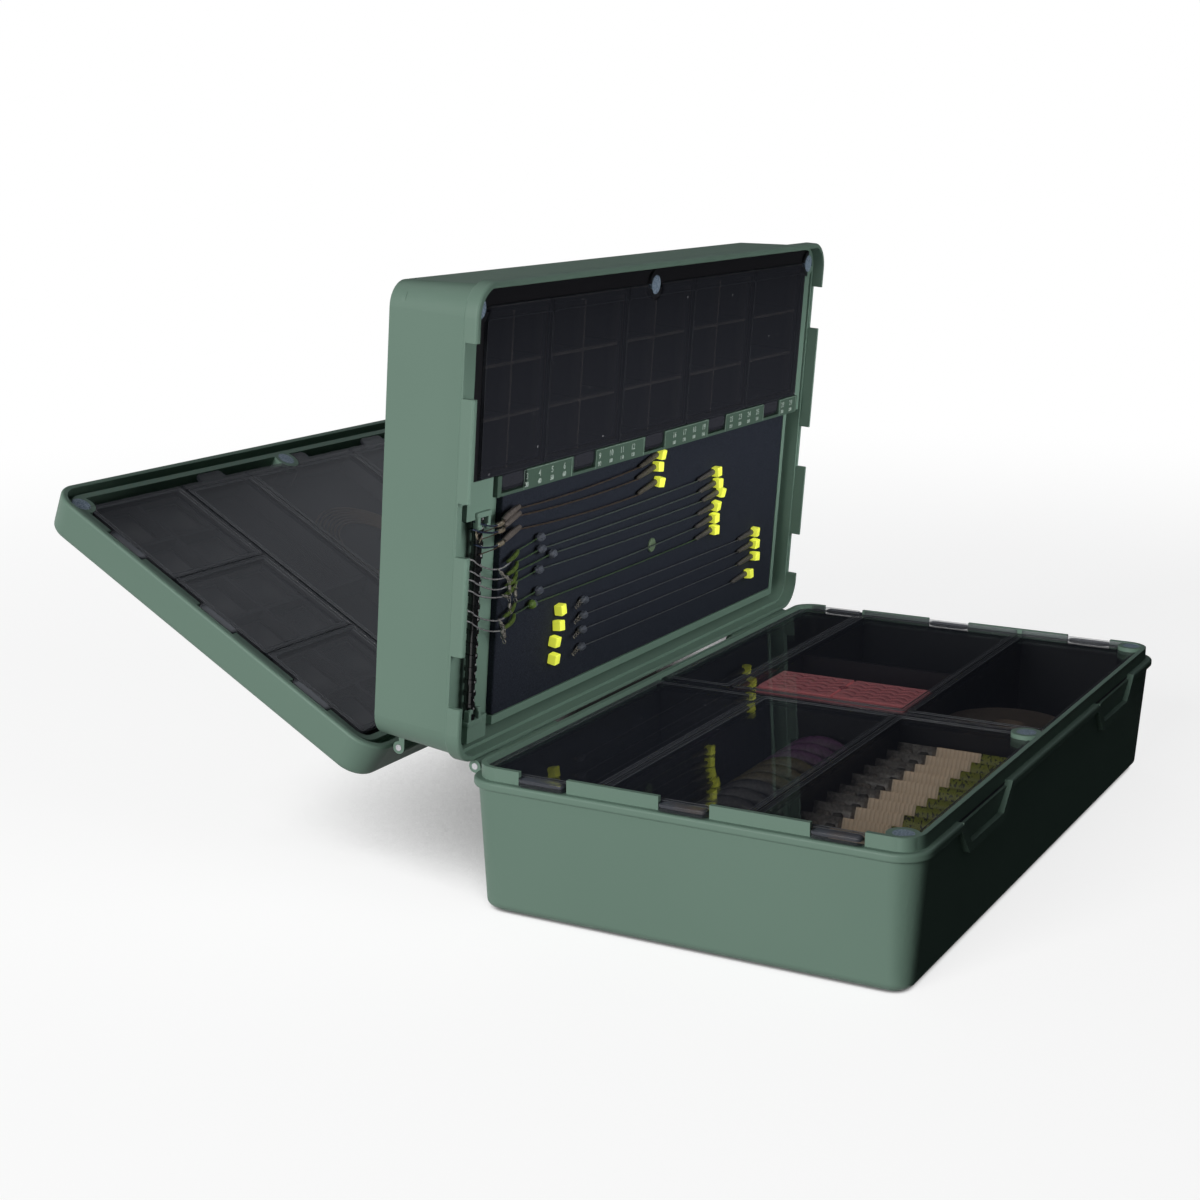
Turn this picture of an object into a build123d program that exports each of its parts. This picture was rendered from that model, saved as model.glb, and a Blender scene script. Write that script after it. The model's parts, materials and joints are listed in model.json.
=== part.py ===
from build123d import *
from math import cos, radians, sin
import os

# Tackle box in three storeys: a base tub under six clear lids, a middle box with a rig
# board and a lidded tray on its inner face, and a lid with a lidded tray of its own.
# The two hinge lines are on the same side, one above the other, so that the storeys
# fold open like a book. They are drawn shut, one on the other, and then turned open.
# Millimetres, Z up. The origin is the middle of the base's underside, X runs from the
# hinge side to the latch side, and Y runs along the hinge lines.

# Outline that the three storeys share
length = 328.5
width = 186.0
corner_radius = 13.0
wall = 2.2
seam = 0.3
slack = 0.3
edge_round = 1.1

# Base tub
base_height = 54.3
foot_rise = 1.3
foot_inset = 1.5
base_floor = 2.2
base_inset_top = 1.8
base_inset_foot = 5.0
base_bottom_round = 3.0
flange_height = 3.6
lip_inset = 3.0
lip_wall = 2.0
lip_rise = 5.2

# Dips in the flange on the latch side, where the fingers reach under the next storey
grip_offset = 91.0
grip_width = 57.5
grip_floor_width = 38.0
grip_depth = 10.3

# Middle box
middle_height = 40.9
skirt_height = 6.4
skirt_wall = 2.3
middle_inset_front = 1.5
middle_inset_back = 3.5
back_lip_rise = 2.7
back_lip_wall = 1.6

# Lid
lid_height = 17.1
lid_overlap = 4.3
lid_rim_wall = 2.8
lid_skin = 1.8
lid_inset_top = 2.2
lid_top_round = 3.0
groove_width = 2.7
groove_extra = 0.9
second_wall = 2.8
second_wall_hinge_gap = 1.8

# Hinges: a group of three knuckles near each end of both lines
hinge_out = 2.5
hinge_rise = 0.54
lid_hinge_below_rim = 0.7
knuckle_radius = 2.6
pin_radius = 1.3
pin_clearance = 0.06
knuckle_gap = 0.25
knuckle_end_inset = 13.85
knuckle_lengths = (16.6, 28.0, 19.0)
open_angle_middle = 86.3
open_angle_lid = 64.2

# Magnets
magnet_radius = 4.0
magnet_thickness = 2.0
boss_radius = 6.25
magnet_clearance = 0.05
magnet_inset = 10.5
magnet_end_inset = 9.6
magnet_middle_y = -11.75
boss_depth = 9.0
boss_swing = 0.3
magnet_air = 0.3

# Clear flap lids and the tabs that they are lifted by
flap_thickness = 1.5
flap_barrel = 1.1
barrel_clearance = 0.1
flap_gap = 0.2
flap_border = 1.0
flap_border_depth = 1.6
flap_border_inset = 2.0
flap_rest = 0.15
tab_width = 20.0
tab_air = 0.35

# Base compartments, measured from the middle of the box
base_flap_drop = 2.0
divider_wall = 1.8
centre_wall_y = -4.75
centre_rail_width = 6.8
centre_rail_height = 4.0
near_divider_x = (-36.1, 26.0)
far_divider_x = (-55.4, 26.6)
cross_divider_y = 80.25
near_tab_x = (-58.8, 0.5, 60.5)
far_tab_x = (-66.0, -10.1, 60.5)
base_tab_air = 0.5

# Middle tray with five flaps, and the ruler strip beside it
tray_wall = 1.2
tray_frame_thickness = 1.5
tray_frame_drop = 0.8
tray_hinge_inset = 11.0
tray_edge_x = 17.2
tray_end_insets = (14.5, 14.0)
tray_inner_cuts_y = (-100.05, -36.25, 27.15, 91.75)
tray_rows = 3
tray_columns = (2, 2, 2, 2, 1)
ruler_width = 8.2
ruler_rise = 2.1
ruler_start_inset = 26.85
ruler_rail = 1.2
ruler_tab_width = 18.4

# Rig board
foam_thickness = 3.0
foam_front_drop = 3.0
foam_hinge_inset = 10.5
foam_top_x = -2.5
foam_end_insets = (38.5, 17.0)
carrier_plate = 2.0
carrier_ledge = 3.5
rivet_radius = 3.2
rivet_rise = 0.9
rivet_place = (-35.4, 7.5)

# Hook bar and its two brackets
bar_radius = 2.1
bar_collar_radius = 2.6
bar_collar_width = 1.6
bar_collars = 17
bar_end_inset = 19.0
bar_front_drop = 3.4
bar_hinge_inset = 12.5
bar_top_x = 4.5
bracket_top_x = (2.2, 17.0)
bracket_top_insets = (7.75, 26.05)
bracket_foot_hinge_insets = (5.0, 14.5)
bracket_foot_insets = (15.75, 29.5)

# Rigs on the board: for each line the height up the board of its pin and of its hook
# or second pin, and how far along the board both are
line_radius = 0.35
pin_size = (4.6, 4.4, 3.2)
bead_radius = 1.5
bead_length = 6.0
sleeve_radius = 1.1
sleeve_length = 13.0
hook_wire = 0.45
hook_shank = 24.0
hook_point = 6.0
long_rigs = ((6.4, 6.9, -2.2), (1.1, 4.9, -5.1), (-6.1, 7.1, -10.6))
bead_rigs = ((-10.1, 67.9, -16.0, -96.4), (-15.9, 70.1, -20.0, -95.2), (-20.9, 74.0, -23.9, -85.6),
             (-26.9, 69.9, -27.8, -96.5), (-32.6, 68.9, -36.7, -95.7), (-38.5, 69.9, -41.1, -99.5))
pinned_rigs = ((-47.8, 119.0, -47.9, -77.4), (-53.9, 119.7, -54.6, -78.1),
               (-60.5, 121.0, -61.0, -80.7), (-68.5, 115.5, -68.5, -80.6))
pinned_bead_y = -56.2

# Lid tray with nine flaps
lid_frame_side_insets = (13.0, 13.5)
lid_frame_end_inset = 10.35
lid_cell_cuts_x = (-26.5, 26.5)
lid_strip_cuts_y = (-91.75, -45.75, 37.25, 84.25)
lid_cell_tab_x = (-53.8, -0.8, 52.0)
lid_tray_floor = 1.2
lid_tab_reach = 4.6
lid_strip_tab_width = 17.0
lid_magnet_inset = 11.3

# Contents
packet_count = 10
packet_size = (46.0, 48.0, 2.4)
packet_last_gap = 39.45
packet_lean = 22.0
packet_start_inset = 10.25
packet_divider_gap = 31.0
packet_shares = (0.36, 0.42, 0.22)
spool_counts = (5, 3, 3)
spool_radius = 22.0
spool_thickness = 5.0
spool_hole = 8.0
spool_lean = 25.0
spool_start_inset = 26.25
spool_last_gap = 17.25
case_divider_gaps = (2.9, 6.1)
case_y = (20.0, 51.5)
case_headroom = 1.45
case_ribs = 12
case_rib_depth = 0.8
reel_radius = 27.0
reel_height = 40.0
reel_flange = 2.4
reel_core_inset = 4.0
reel_place = (56.0, 48.0)
coil_turns = 7
coil_inner_radius = 21.0
coil_step = 1.9
coil_wire_radius = 0.6
coil_centre = (20.0, -4.0)

half_x = width / 2
half_y = length / 2
knuckle_start = half_y - knuckle_end_inset
tray_hinge_x = half_x - tray_hinge_inset
tray_cuts_y = (-half_y + tray_end_insets[0], *tray_inner_cuts_y, half_y - tray_end_insets[1])
foam_x = (-half_x + foam_hinge_inset, foam_top_x)
foam_y = (-half_y + foam_end_insets[0], half_y - foam_end_insets[1])
bar_x = (-half_x + bar_hinge_inset, bar_top_x)
bar_y = -half_y + bar_end_inset
bracket_top_y = (-half_y + bracket_top_insets[0], -half_y + bracket_top_insets[1])
bracket_foot_x = (-half_x + bracket_foot_hinge_insets[0], -half_x + bracket_foot_hinge_insets[1])
bracket_foot_y = (-half_y + bracket_foot_insets[0], -half_y + bracket_foot_insets[1])
lid_frame_x = (-half_x + lid_frame_side_insets[0], half_x - lid_frame_side_insets[1])
lid_frame_y = (-half_y + lid_frame_end_inset, half_y - lid_frame_end_inset)
lid_magnet_x = half_x - lid_magnet_inset
lip_top = base_height + lip_rise
middle_rim = base_height + seam
middle_deck = lip_top + seam
middle_back = middle_rim + middle_height
back_face = middle_back - back_lip_rise
back_inside = back_face - wall
lid_rim = middle_back - lid_overlap
lid_top = lid_rim + lid_height
lid_deck = back_face + magnet_air
groove_floor = middle_back + groove_extra
hinge_x = -half_x - hinge_out
hinge_z = base_height + hinge_rise
lid_hinge_z = lid_rim - lid_hinge_below_rim
notch_width = tab_width + 2 * tab_air
flap_top = lip_top - base_flap_drop

os.makedirs("parts", exist_ok=True)


def block(x_range, y_range, z_range):
    """A box between three pairs of limits."""
    (x0, x1), (y0, y1), (z0, z1) = x_range, y_range, z_range
    return Pos((x0 + x1) / 2, (y0 + y1) / 2, (z0 + z1) / 2) * Box(x1 - x0, y1 - y0, z1 - z0)


def outline(inset, z):
    """The shared rounded outline, drawn in by an inset, at a height."""
    radius = max(corner_radius - inset, 1.0)
    return Pos(0, 0, z) * RectangleRounded(width - 2 * inset, length - 2 * inset, radius)


def slab(inset, z0, z1):
    """A straight-sided slab with the shared outline."""
    return extrude(outline(inset, z0), z1 - z0)


def drafted(inset0, z0, inset1, z1):
    """A slab whose inset changes evenly from bottom to top."""
    return loft([outline(inset0, z0), outline(inset1, z1)], ruled=True)


def rounded_rims(solid, heights, radius):
    """Rounds the edges that lie flat at the given heights."""
    flat = [edge for edge in solid.edges()
            if any(abs(edge.bounding_box().min.Z - z) < 0.01 and abs(edge.bounding_box().max.Z - z) < 0.01
                   for z in heights)]
    return fillet(flat, radius)


def rod(start, end, radius):
    """A round bar between two points."""
    way = Vector(*end) - Vector(*start)
    return Plane(origin=start, z_dir=way) * extrude(Circle(radius), way.length)


def y_rod(x, z, y0, y1, radius):
    return rod((x, y0, z), (x, y1, z), radius)


def group(solids):
    """Keeps separate solids together in one piece list."""
    return Compound(children=[one for solid in solids for one in solid.solids()])


def opened(shape, storey):
    """Turns a shape drawn shut to the open pose of its storey."""
    if storey == "lid":
        shape = shape.rotate(Axis((hinge_x, 0, lid_hinge_z), (0, 1, 0)), -open_angle_lid)
    if storey in ("lid", "middle"):
        shape = shape.rotate(Axis((hinge_x, 0, hinge_z), (0, 1, 0)), -open_angle_middle)
    return shape


def keep(name, shape, storey="base"):
    export_step(opened(shape, storey), "parts/" + name + ".step")


# Hinges. Each group of knuckles is mirrored to the far end. Knuckles 0 and 2 belong to
# the lower storey and knuckle 1 to the upper one.
def knuckle_spans(owner):
    spans = []
    at = -knuckle_start
    for index, one in enumerate(knuckle_lengths):
        if (index == 1) == (owner == "upper"):
            spans.append((at + knuckle_gap / 2, at + one - knuckle_gap / 2))
            spans.append((-at - one + knuckle_gap / 2, -at - knuckle_gap / 2))
        at += one
    return spans


def knuckles(z, owner, reach_x, web_z):
    """Knuckles with webs to the storey, between two heights above or below the pin."""
    solids = []
    for y0, y1 in knuckle_spans(owner):
        web = block((hinge_x, reach_x), (y0, y1), web_z)
        solids.append(y_rod(hinge_x, z, y0, y1, knuckle_radius) + web)
    return solids


def hinge_bores(z):
    reach = knuckle_start + slack
    return y_rod(hinge_x, z, -reach, reach, pin_radius + pin_clearance)


def knuckle_room(z, owner):
    """Room in one storey for the knuckles of the other."""
    return [y_rod(hinge_x, z, y0 - knuckle_gap, y1 + knuckle_gap, knuckle_radius + slack)
            for y0, y1 in knuckle_spans(owner)]


def hinge_pins(z):
    total = sum(knuckle_lengths)
    near = y_rod(hinge_x, z, -knuckle_start, -knuckle_start + total, pin_radius)
    far = y_rod(hinge_x, z, knuckle_start - total, knuckle_start, pin_radius)
    return group([near, far])


# Magnets: two at the ends of the latch side and one at the middle of the box
def magnet_places(x):
    end = half_y - magnet_end_inset
    return [(x, -end), (x, magnet_middle_y), (x, end)]


def bosses(x, face_z, back_z):
    return [Pos(px, py, min(face_z, back_z)) * extrude(Circle(boss_radius), abs(back_z - face_z))
            for px, py in magnet_places(x)]


def boss_room(x, z0, z1, extra=0.0):
    return [Pos(px, py, z0) * extrude(Circle(boss_radius + slack + extra), z1 - z0)
            for px, py in magnet_places(x)]


def magnet_discs(x, face_z, side, radius):
    """Discs whose face lies at face_z and whose body goes to the given side."""
    return [Pos(px, py, min(face_z, face_z + side * magnet_thickness))
            * extrude(Circle(radius), magnet_thickness) for px, py in magnet_places(x)]


# A flap lid: a plate that hangs on a barrel along its own X, with a border turned down
# inside its edge and a tab to lift it by. Its outer face is +Z.
def flap(span, reach, tab_at, width_of_tab, tab_reach, tab_height):
    side = span / 2 - flap_gap
    top = flap_barrel
    under = top - flap_thickness
    plate = block((-side, side), (0, reach), (under, top))
    barrel = rod((-side, 0, 0), (side, 0, 0), flap_barrel)
    outer = (span / 2 - flap_border_inset, 2 * flap_border_inset, reach - flap_border_inset)
    inner = (outer[0] - flap_border, outer[1] + flap_border, outer[2] - flap_border)
    border = block((-outer[0], outer[0]), (outer[1], outer[2]), (under - flap_border_depth, under))
    border -= block((-inner[0], inner[0]), (inner[1], inner[2]), (under - flap_border_depth, under))
    nose = tab_reach / 2
    tab = Pos(tab_at, reach + (tab_reach - nose) / 2, top - tab_height) * extrude(
        RectangleRounded(width_of_tab, tab_reach + nose, nose), tab_height)
    tab -= block((tab_at - width_of_tab, tab_at + width_of_tab),
                 (reach - 2 * tab_reach, reach - 0.01), (top - tab_height - 1, under))
    return plate + barrel + border + tab


def laid(solid, place, along, up):
    """Puts a flap with its barrel along one direction and its outer face to another."""
    return Plane(origin=place, x_dir=along, z_dir=up) * solid


def cleared(solid, rooms):
    """A flap cut back round the magnet bosses, without the crumbs that the cuts leave."""
    for room in rooms:
        solid -= room
    return max(solid.solids(), key=lambda one: one.volume)


# Base tub
body_top = base_height - flange_height / 2
tub = drafted(base_inset_foot, foot_rise, base_inset_top, body_top)
tub = rounded_rims(tub, [foot_rise], base_bottom_round)
tub += slab(base_inset_foot + foot_inset + base_bottom_round, 0, foot_rise + base_floor)
flange = rounded_rims(slab(0, base_height - flange_height, base_height),
                      [base_height - flange_height, base_height], edge_round)
lip = slab(lip_inset, base_height, lip_top)

# Each dip takes the flange away and leads its band down and up again
dip_run = (grip_width - grip_floor_width) / 2
dip_lean = flange_height * (grip_depth / dip_run) / (1 + grip_depth / dip_run) * 0.8
band_inside = half_x - base_inset_top - wall
for grip_y in (-grip_offset, grip_offset):
    ends = (grip_y - grip_width / 2, grip_y + grip_width / 2)
    lows = (grip_y - grip_floor_width / 2, grip_y + grip_floor_width / 2)
    dip_floor = base_height - grip_depth
    flange -= block((half_x - lip_inset, half_x + 1), ends, (base_height - flange_height, base_height))
    band_face = Plane.YZ.offset(band_inside) * make_face(Polyline(
        (ends[0] - 0.1, base_height), (ends[0], base_height), (lows[0], dip_floor), (lows[1], dip_floor),
        (ends[1], base_height), (ends[1] + 0.1, base_height),
        (ends[1] + dip_lean, base_height - flange_height), (lows[1] + dip_lean, dip_floor - flange_height),
        (lows[0] - dip_lean, dip_floor - flange_height), (ends[0] - dip_lean, base_height - flange_height),
        close=True))
    flange += extrude(band_face, half_x - band_inside)

tub += flange + lip
cavity_bottom = foot_rise + base_floor
tub_side = base_inset_foot + (base_inset_top - base_inset_foot) * base_floor / (body_top - foot_rise)
tub -= drafted(tub_side + wall, cavity_bottom, lip_inset + lip_wall, base_height - flange_height)
tub -= slab(lip_inset + lip_wall, base_height - flange_height, lip_top)
magnet_x = half_x - magnet_inset
base_magnet_face = lip_top - seam
for boss in bosses(magnet_x, base_magnet_face, base_magnet_face - boss_depth):
    tub += boss
for disc in magnet_discs(magnet_x, base_magnet_face, -1, magnet_radius + magnet_clearance):
    tub -= disc
for end, places in ((-1, near_tab_x), (1, far_tab_x)):
    for tab_x in places:
        notch_y = sorted((end * (half_y - lip_inset - lip_wall - slack), end * (half_y + 1)))
        tub -= block((tab_x - notch_width / 2, tab_x + notch_width / 2), notch_y, (base_height, lip_top + 1))
for knuckle in knuckles(hinge_z, "lower", -half_x + base_inset_top, (hinge_z - knuckle_radius, base_height)):
    tub += knuckle
for room in knuckle_room(hinge_z, "upper"):
    tub -= room
tub -= hinge_bores(hinge_z)
keep("base_tub", tub)
keep("base_hinge_pins", hinge_pins(hinge_z))
keep("base_magnets", group(magnet_discs(magnet_x, base_magnet_face, -1, magnet_radius)))

# Inside of the base, drawn in by the slack, to which the dividers are trimmed
base_hold = drafted(tub_side + wall + slack, cavity_bottom, lip_inset + lip_wall + slack,
                    base_height - flange_height)
base_hold += slab(lip_inset + lip_wall + slack, base_height - flange_height, lip_top)
for room in boss_room(magnet_x, base_magnet_face - boss_depth - slack, lip_top):
    base_hold -= room
flap_axis_z = flap_top - flap_barrel
rest_z = flap_top - flap_thickness - flap_rest
rail_y = (centre_wall_y - centre_rail_width / 2, centre_wall_y + centre_rail_width / 2)
axis_y = (centre_wall_y - centre_rail_width / 4, centre_wall_y + centre_rail_width / 4)
centre_wall = block((-half_x, half_x), (centre_wall_y - divider_wall / 2, centre_wall_y + divider_wall / 2),
                    (cavity_bottom, rest_z))
centre_wall += block((-half_x, half_x), rail_y, (rest_z - centre_rail_height, rest_z))
centre_wall = centre_wall & base_hold
for barrel_y in axis_y:
    centre_wall -= rod((-half_x, barrel_y, flap_axis_z), (half_x, barrel_y, flap_axis_z),
                       flap_barrel + barrel_clearance)
keep("base_centre_wall", centre_wall)


def divider(x, y_range):
    plate = block((x - divider_wall / 2, x + divider_wall / 2), y_range, (cavity_bottom, rest_z))
    return plate & base_hold


near_reach = (-half_y, rail_y[0] - slack)
far_reach = (rail_y[1] + slack, half_y)
keep("base_dividers_near", group([divider(x, near_reach) for x in near_divider_x]))
keep("base_divider_far_left", divider(far_divider_x[0], far_reach))
keep("base_divider_far_right", divider(far_divider_x[1], far_reach))
cross_x = (far_divider_x[0] + divider_wall / 2 + slack, far_divider_x[1] - divider_wall / 2 - slack)
cross_y = (cross_divider_y - divider_wall / 2, cross_divider_y + divider_wall / 2)
border_room = flap_border_depth + slack
keep("base_cross_divider", block(cross_x, cross_y, (cavity_bottom, rest_z - border_room)))

# Base flaps
flap_side = half_x - lip_inset - lip_wall - slack
flap_end = half_y - lip_inset - lip_wall - slack
base_tab_reach = half_y - flap_end - base_tab_air
base_tab_height = flap_top - base_height - base_tab_air
base_flap_rooms = boss_room(magnet_x, base_height - flange_height, lip_top, boss_swing)
flap_zone = (base_height - flange_height, lip_top)
for corner_x in ((-half_x, corner_radius - flap_side), (flap_side - corner_radius, half_x)):
    corners = block(corner_x, (-half_y, half_y), flap_zone)
    base_flap_rooms.append(corners - slab(lip_inset + lip_wall + slack, *flap_zone))
# The near barrel ends ahead of the middle magnet's boss, so that it turns freely
base_flap_rooms.append(block((magnet_x - boss_radius - slack, half_x),
                             (axis_y[0] - flap_barrel, axis_y[0] + flap_barrel), flap_zone))


def base_flaps(label, cuts, tab_places, barrel_y, along, end):
    edges = (-flap_side - flap_gap, *cuts, flap_side + flap_gap)
    for index, tab_x in enumerate(tab_places):
        left, right = edges[index], edges[index + 1]
        middle = (left + right) / 2
        solid = flap(right - left, end * (end * flap_end - barrel_y), along[0] * (tab_x - middle),
                     tab_width, base_tab_reach, base_tab_height)
        solid = laid(solid, (middle, barrel_y, flap_axis_z), along, (0, 0, 1))
        keep("base_flap_" + label + "_" + str(index + 1), cleared(solid, base_flap_rooms))


base_flaps("near", near_divider_x, near_tab_x, axis_y[0], (-1, 0, 0), -1)
base_flaps("far", far_divider_x, far_tab_x, axis_y[1], (1, 0, 0), 1)

# Middle box
skirt_top = middle_rim + skirt_height
middle_box = rounded_rims(slab(0, middle_rim, skirt_top), [middle_rim, skirt_top], edge_round)
middle_box += drafted(middle_inset_front, skirt_top - edge_round, middle_inset_back, middle_back)
middle_box -= slab(skirt_wall, middle_rim, middle_deck)
front_inside = middle_inset_front + wall
back_inside_inset = middle_inset_back + wall
middle_box -= drafted(front_inside, middle_deck, back_inside_inset, back_inside)
middle_box -= slab(middle_inset_back + back_lip_wall, back_face, middle_back)
for end, places in ((-1, near_tab_x), (1, far_tab_x)):
    for tab_x in places:
        notch_y = sorted((end * (half_y - skirt_wall - slack), end * (half_y + 1)))
        middle_box -= block((tab_x - notch_width / 2, tab_x + notch_width / 2), notch_y,
                            (middle_rim, middle_deck - slack))
for knuckle in knuckles(hinge_z, "upper", -half_x + middle_inset_front, (hinge_z, hinge_z + knuckle_radius)):
    middle_box += knuckle
back_web_z = (lid_hinge_z - knuckle_radius, lid_hinge_z)
for knuckle in knuckles(lid_hinge_z, "lower", -half_x + middle_inset_back + wall / 2, back_web_z):
    middle_box += knuckle
for room in knuckle_room(hinge_z, "lower") + knuckle_room(lid_hinge_z, "upper"):
    middle_box -= room
middle_box -= hinge_bores(hinge_z) + hinge_bores(lid_hinge_z)
for boss in bosses(lid_magnet_x, back_inside, back_inside - magnet_thickness):
    middle_box += boss
for disc in magnet_discs(lid_magnet_x, back_face, -1, magnet_radius + magnet_clearance):
    middle_box -= disc
keep("middle_box", middle_box, "middle")
keep("middle_back_magnets", group(magnet_discs(lid_magnet_x, back_face, -1, magnet_radius)), "middle")
keep("lid_hinge_pins", hinge_pins(lid_hinge_z), "middle")

# Space inside the middle box, drawn in by the slack, to which its inserts are trimmed
middle_hold = drafted(front_inside + slack, middle_deck, back_inside_inset + slack, back_inside)
for room in boss_room(lid_magnet_x, back_inside - magnet_thickness, back_inside):
    middle_hold -= room

# Tray of the middle box: a frame, a row of cells behind it and a floor on the back
frame_face = middle_deck + tray_frame_drop
frame_back = frame_face + tray_frame_thickness
ruler_x = (tray_edge_x - ruler_width, tray_edge_x)
cell_x = (tray_edge_x + tray_wall, tray_hinge_x - flap_border_inset)
cell_y = (tray_cuts_y[0], tray_cuts_y[-1])
tray = block((ruler_x[0], half_x), (-half_y, half_y), (frame_face, frame_back))
tray += block((cell_x[0] - tray_wall, cell_x[1] + tray_wall), (cell_y[0] - tray_wall, cell_y[1] + tray_wall),
              (frame_face, back_inside))
tray = tray & middle_hold
row_depth = (cell_x[1] - cell_x[0]) / tray_rows
for index, columns in enumerate(tray_columns):
    first, last = tray_cuts_y[index], tray_cuts_y[index + 1]
    pitch = (last - first) / columns
    for column in range(columns):
        for row in range(tray_rows):
            y_room = (first + column * pitch + tray_wall / 2, first + (column + 1) * pitch - tray_wall / 2)
            x_room = (cell_x[0] + row * row_depth + (tray_wall / 2 if row else 0),
                      cell_x[0] + (row + 1) * row_depth - (tray_wall / 2 if row < tray_rows - 1 else 0))
            tray -= block(x_room, y_room, (frame_face, back_inside - tray_wall))
    tray -= block(cell_x, (first + tray_wall / 2, last - tray_wall / 2), (frame_face, frame_face + border_room))
tray_magnet_face = base_magnet_face + magnet_air
for boss in bosses(magnet_x, tray_magnet_face, frame_back):
    tray += boss & slab(front_inside + slack, tray_magnet_face, frame_back)
for disc in magnet_discs(magnet_x, tray_magnet_face, 1, magnet_radius + magnet_clearance):
    tray -= disc
tray_axis_z = frame_face - flap_rest - flap_thickness + flap_barrel
tray -= rod((tray_hinge_x, -half_y, tray_axis_z), (tray_hinge_x, half_y, tray_axis_z),
            flap_barrel + barrel_clearance)
keep("middle_tray", tray, "middle")
keep("middle_front_magnets", group(magnet_discs(magnet_x, tray_magnet_face, 1, magnet_radius)), "middle")

# Ruler strip, cut out where the tabs of the tray flaps lie
ruler_y = (-half_y + ruler_start_inset, cell_y[1] + flap_border_inset)
ruler = block(ruler_x, ruler_y, (frame_face - ruler_rise, frame_face))
tray_tab_y = [(tray_cuts_y[index] + tray_cuts_y[index + 1]) / 2 for index in range(len(tray_columns))]
for tab_y in tray_tab_y:
    ruler -= block((ruler_x[0] + ruler_rail, ruler_x[1]), (tab_y - ruler_tab_width / 2 - tab_air,
                   tab_y + ruler_tab_width / 2 + tab_air), (frame_face - ruler_rise, frame_face))
keep("ruler_strip", ruler, "middle")

tray_flap_reach = tray_hinge_x - tray_edge_x - slack
tray_tab_reach = ruler_width - ruler_rail - 2 * slack
for index, tab_y in enumerate(tray_tab_y):
    first, last = tray_cuts_y[index], tray_cuts_y[index + 1]
    solid = flap(last - first, tray_flap_reach, 0, ruler_tab_width, tray_tab_reach, flap_thickness)
    solid = laid(solid, (tray_hinge_x, (first + last) / 2, tray_axis_z), (0, -1, 0), (0, 0, -1))
    rooms = boss_room(magnet_x, middle_deck - lip_rise, frame_back + flap_border_depth)
    keep("tray_flap_" + str(index + 1), cleared(solid, rooms), "middle")

# Board carrier: a plate on four walls that stand on the back, with ledges round the foam
foam_face = middle_deck + foam_front_drop
plate_face = foam_face + foam_thickness
carrier_x = (-half_x + front_inside + 2 * slack + wall, ruler_x[0] - slack)
carrier_y = (-half_y + front_inside + 2 * slack + wall, half_y - front_inside - 2 * slack - wall)
carrier = block(carrier_x, carrier_y, (plate_face, back_inside))
carrier -= block((carrier_x[0] + tray_wall, carrier_x[1] - tray_wall),
                 (carrier_y[0] + tray_wall, carrier_y[1] - tray_wall),
                 (plate_face + carrier_plate, back_inside))
carrier = carrier & middle_hold
ledge_x = (foam_x[0] - slack - carrier_ledge, foam_x[0] - slack)
ledge_y = (foam_y[1] + slack, foam_y[1] + slack + carrier_ledge)
carrier += block(ledge_x, (foam_y[0], ledge_y[1]), (foam_face, plate_face)) & middle_hold
carrier += block((ledge_x[0], carrier_x[1]), ledge_y, (foam_face, plate_face)) & middle_hold
keep("board_carrier", carrier, "middle")
keep("rig_board", block(foam_x, foam_y, (foam_face, plate_face)), "middle")
rivet = Pos(*rivet_place, foam_face - rivet_rise) * extrude(Circle(rivet_radius), rivet_rise)
keep("board_rivet", fillet(rivet.edges().group_by(Axis.Z)[0], rivet_rise * 0.6), "middle")

# Hook bar with its collars, held by a bracket at each end
bar_z = foam_face - bar_front_drop + bar_collar_radius
bar = rod((bar_x[0], bar_y, bar_z), (bar_x[1], bar_y, bar_z), bar_radius)
collar_pitch = (bar_x[1] - bar_x[0]) / bar_collars
for index in range(bar_collars):
    collar_x = bar_x[0] + (index + 0.5) * collar_pitch
    bar += rod((collar_x - bar_collar_width / 2, bar_y, bar_z), (collar_x + bar_collar_width / 2, bar_y, bar_z),
               bar_collar_radius)
keep("hook_bar", bar, "middle")
brackets = []
for bracket_x, bracket_y in ((bracket_top_x, bracket_top_y), (bracket_foot_x, bracket_foot_y)):
    bracket = block(bracket_x, bracket_y, (middle_deck + slack, plate_face))
    bracket -= block((ruler_x[0] - slack, half_x), (-half_y, half_y), (frame_face - slack, plate_face))
    bracket -= rod((bar_x[0] - slack, bar_y, bar_z), (bar_x[1] + slack, bar_y, bar_z),
                   bar_collar_radius + slack)
    brackets.append(bracket & middle_hold)
keep("bar_brackets", group(brackets), "middle")


# Rigs: a yellow pin holds the far end of each line, a hook on the bar or a second pin
# the near end, with a dark sleeve at the pin and a bead where the rig has one
def bead(x, y):
    solid = rod((x, y - bead_length / 2, line_z), (x, y + bead_length / 2, line_z), bead_radius)
    return fillet(solid.edges(), bead_radius * 0.8)


def pin_block(x, y):
    pin = block((x - pin_size[0] / 2, x + pin_size[0] / 2), (y - pin_size[1] / 2, y + pin_size[1] / 2),
                (foam_face - pin_size[2], foam_face))
    return chamfer(pin.edges().group_by(Axis.Z)[0], pin_size[2] / 4)


def sleeve(x, y, side, tilt):
    """A sleeve from beside a pin or a shank towards the other end of its line."""
    start = (x + side * slack * tilt, y + side * slack, line_z)
    return rod(start, (x + side * sleeve_length * tilt, y + side * sleeve_length, line_z), sleeve_radius)


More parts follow.
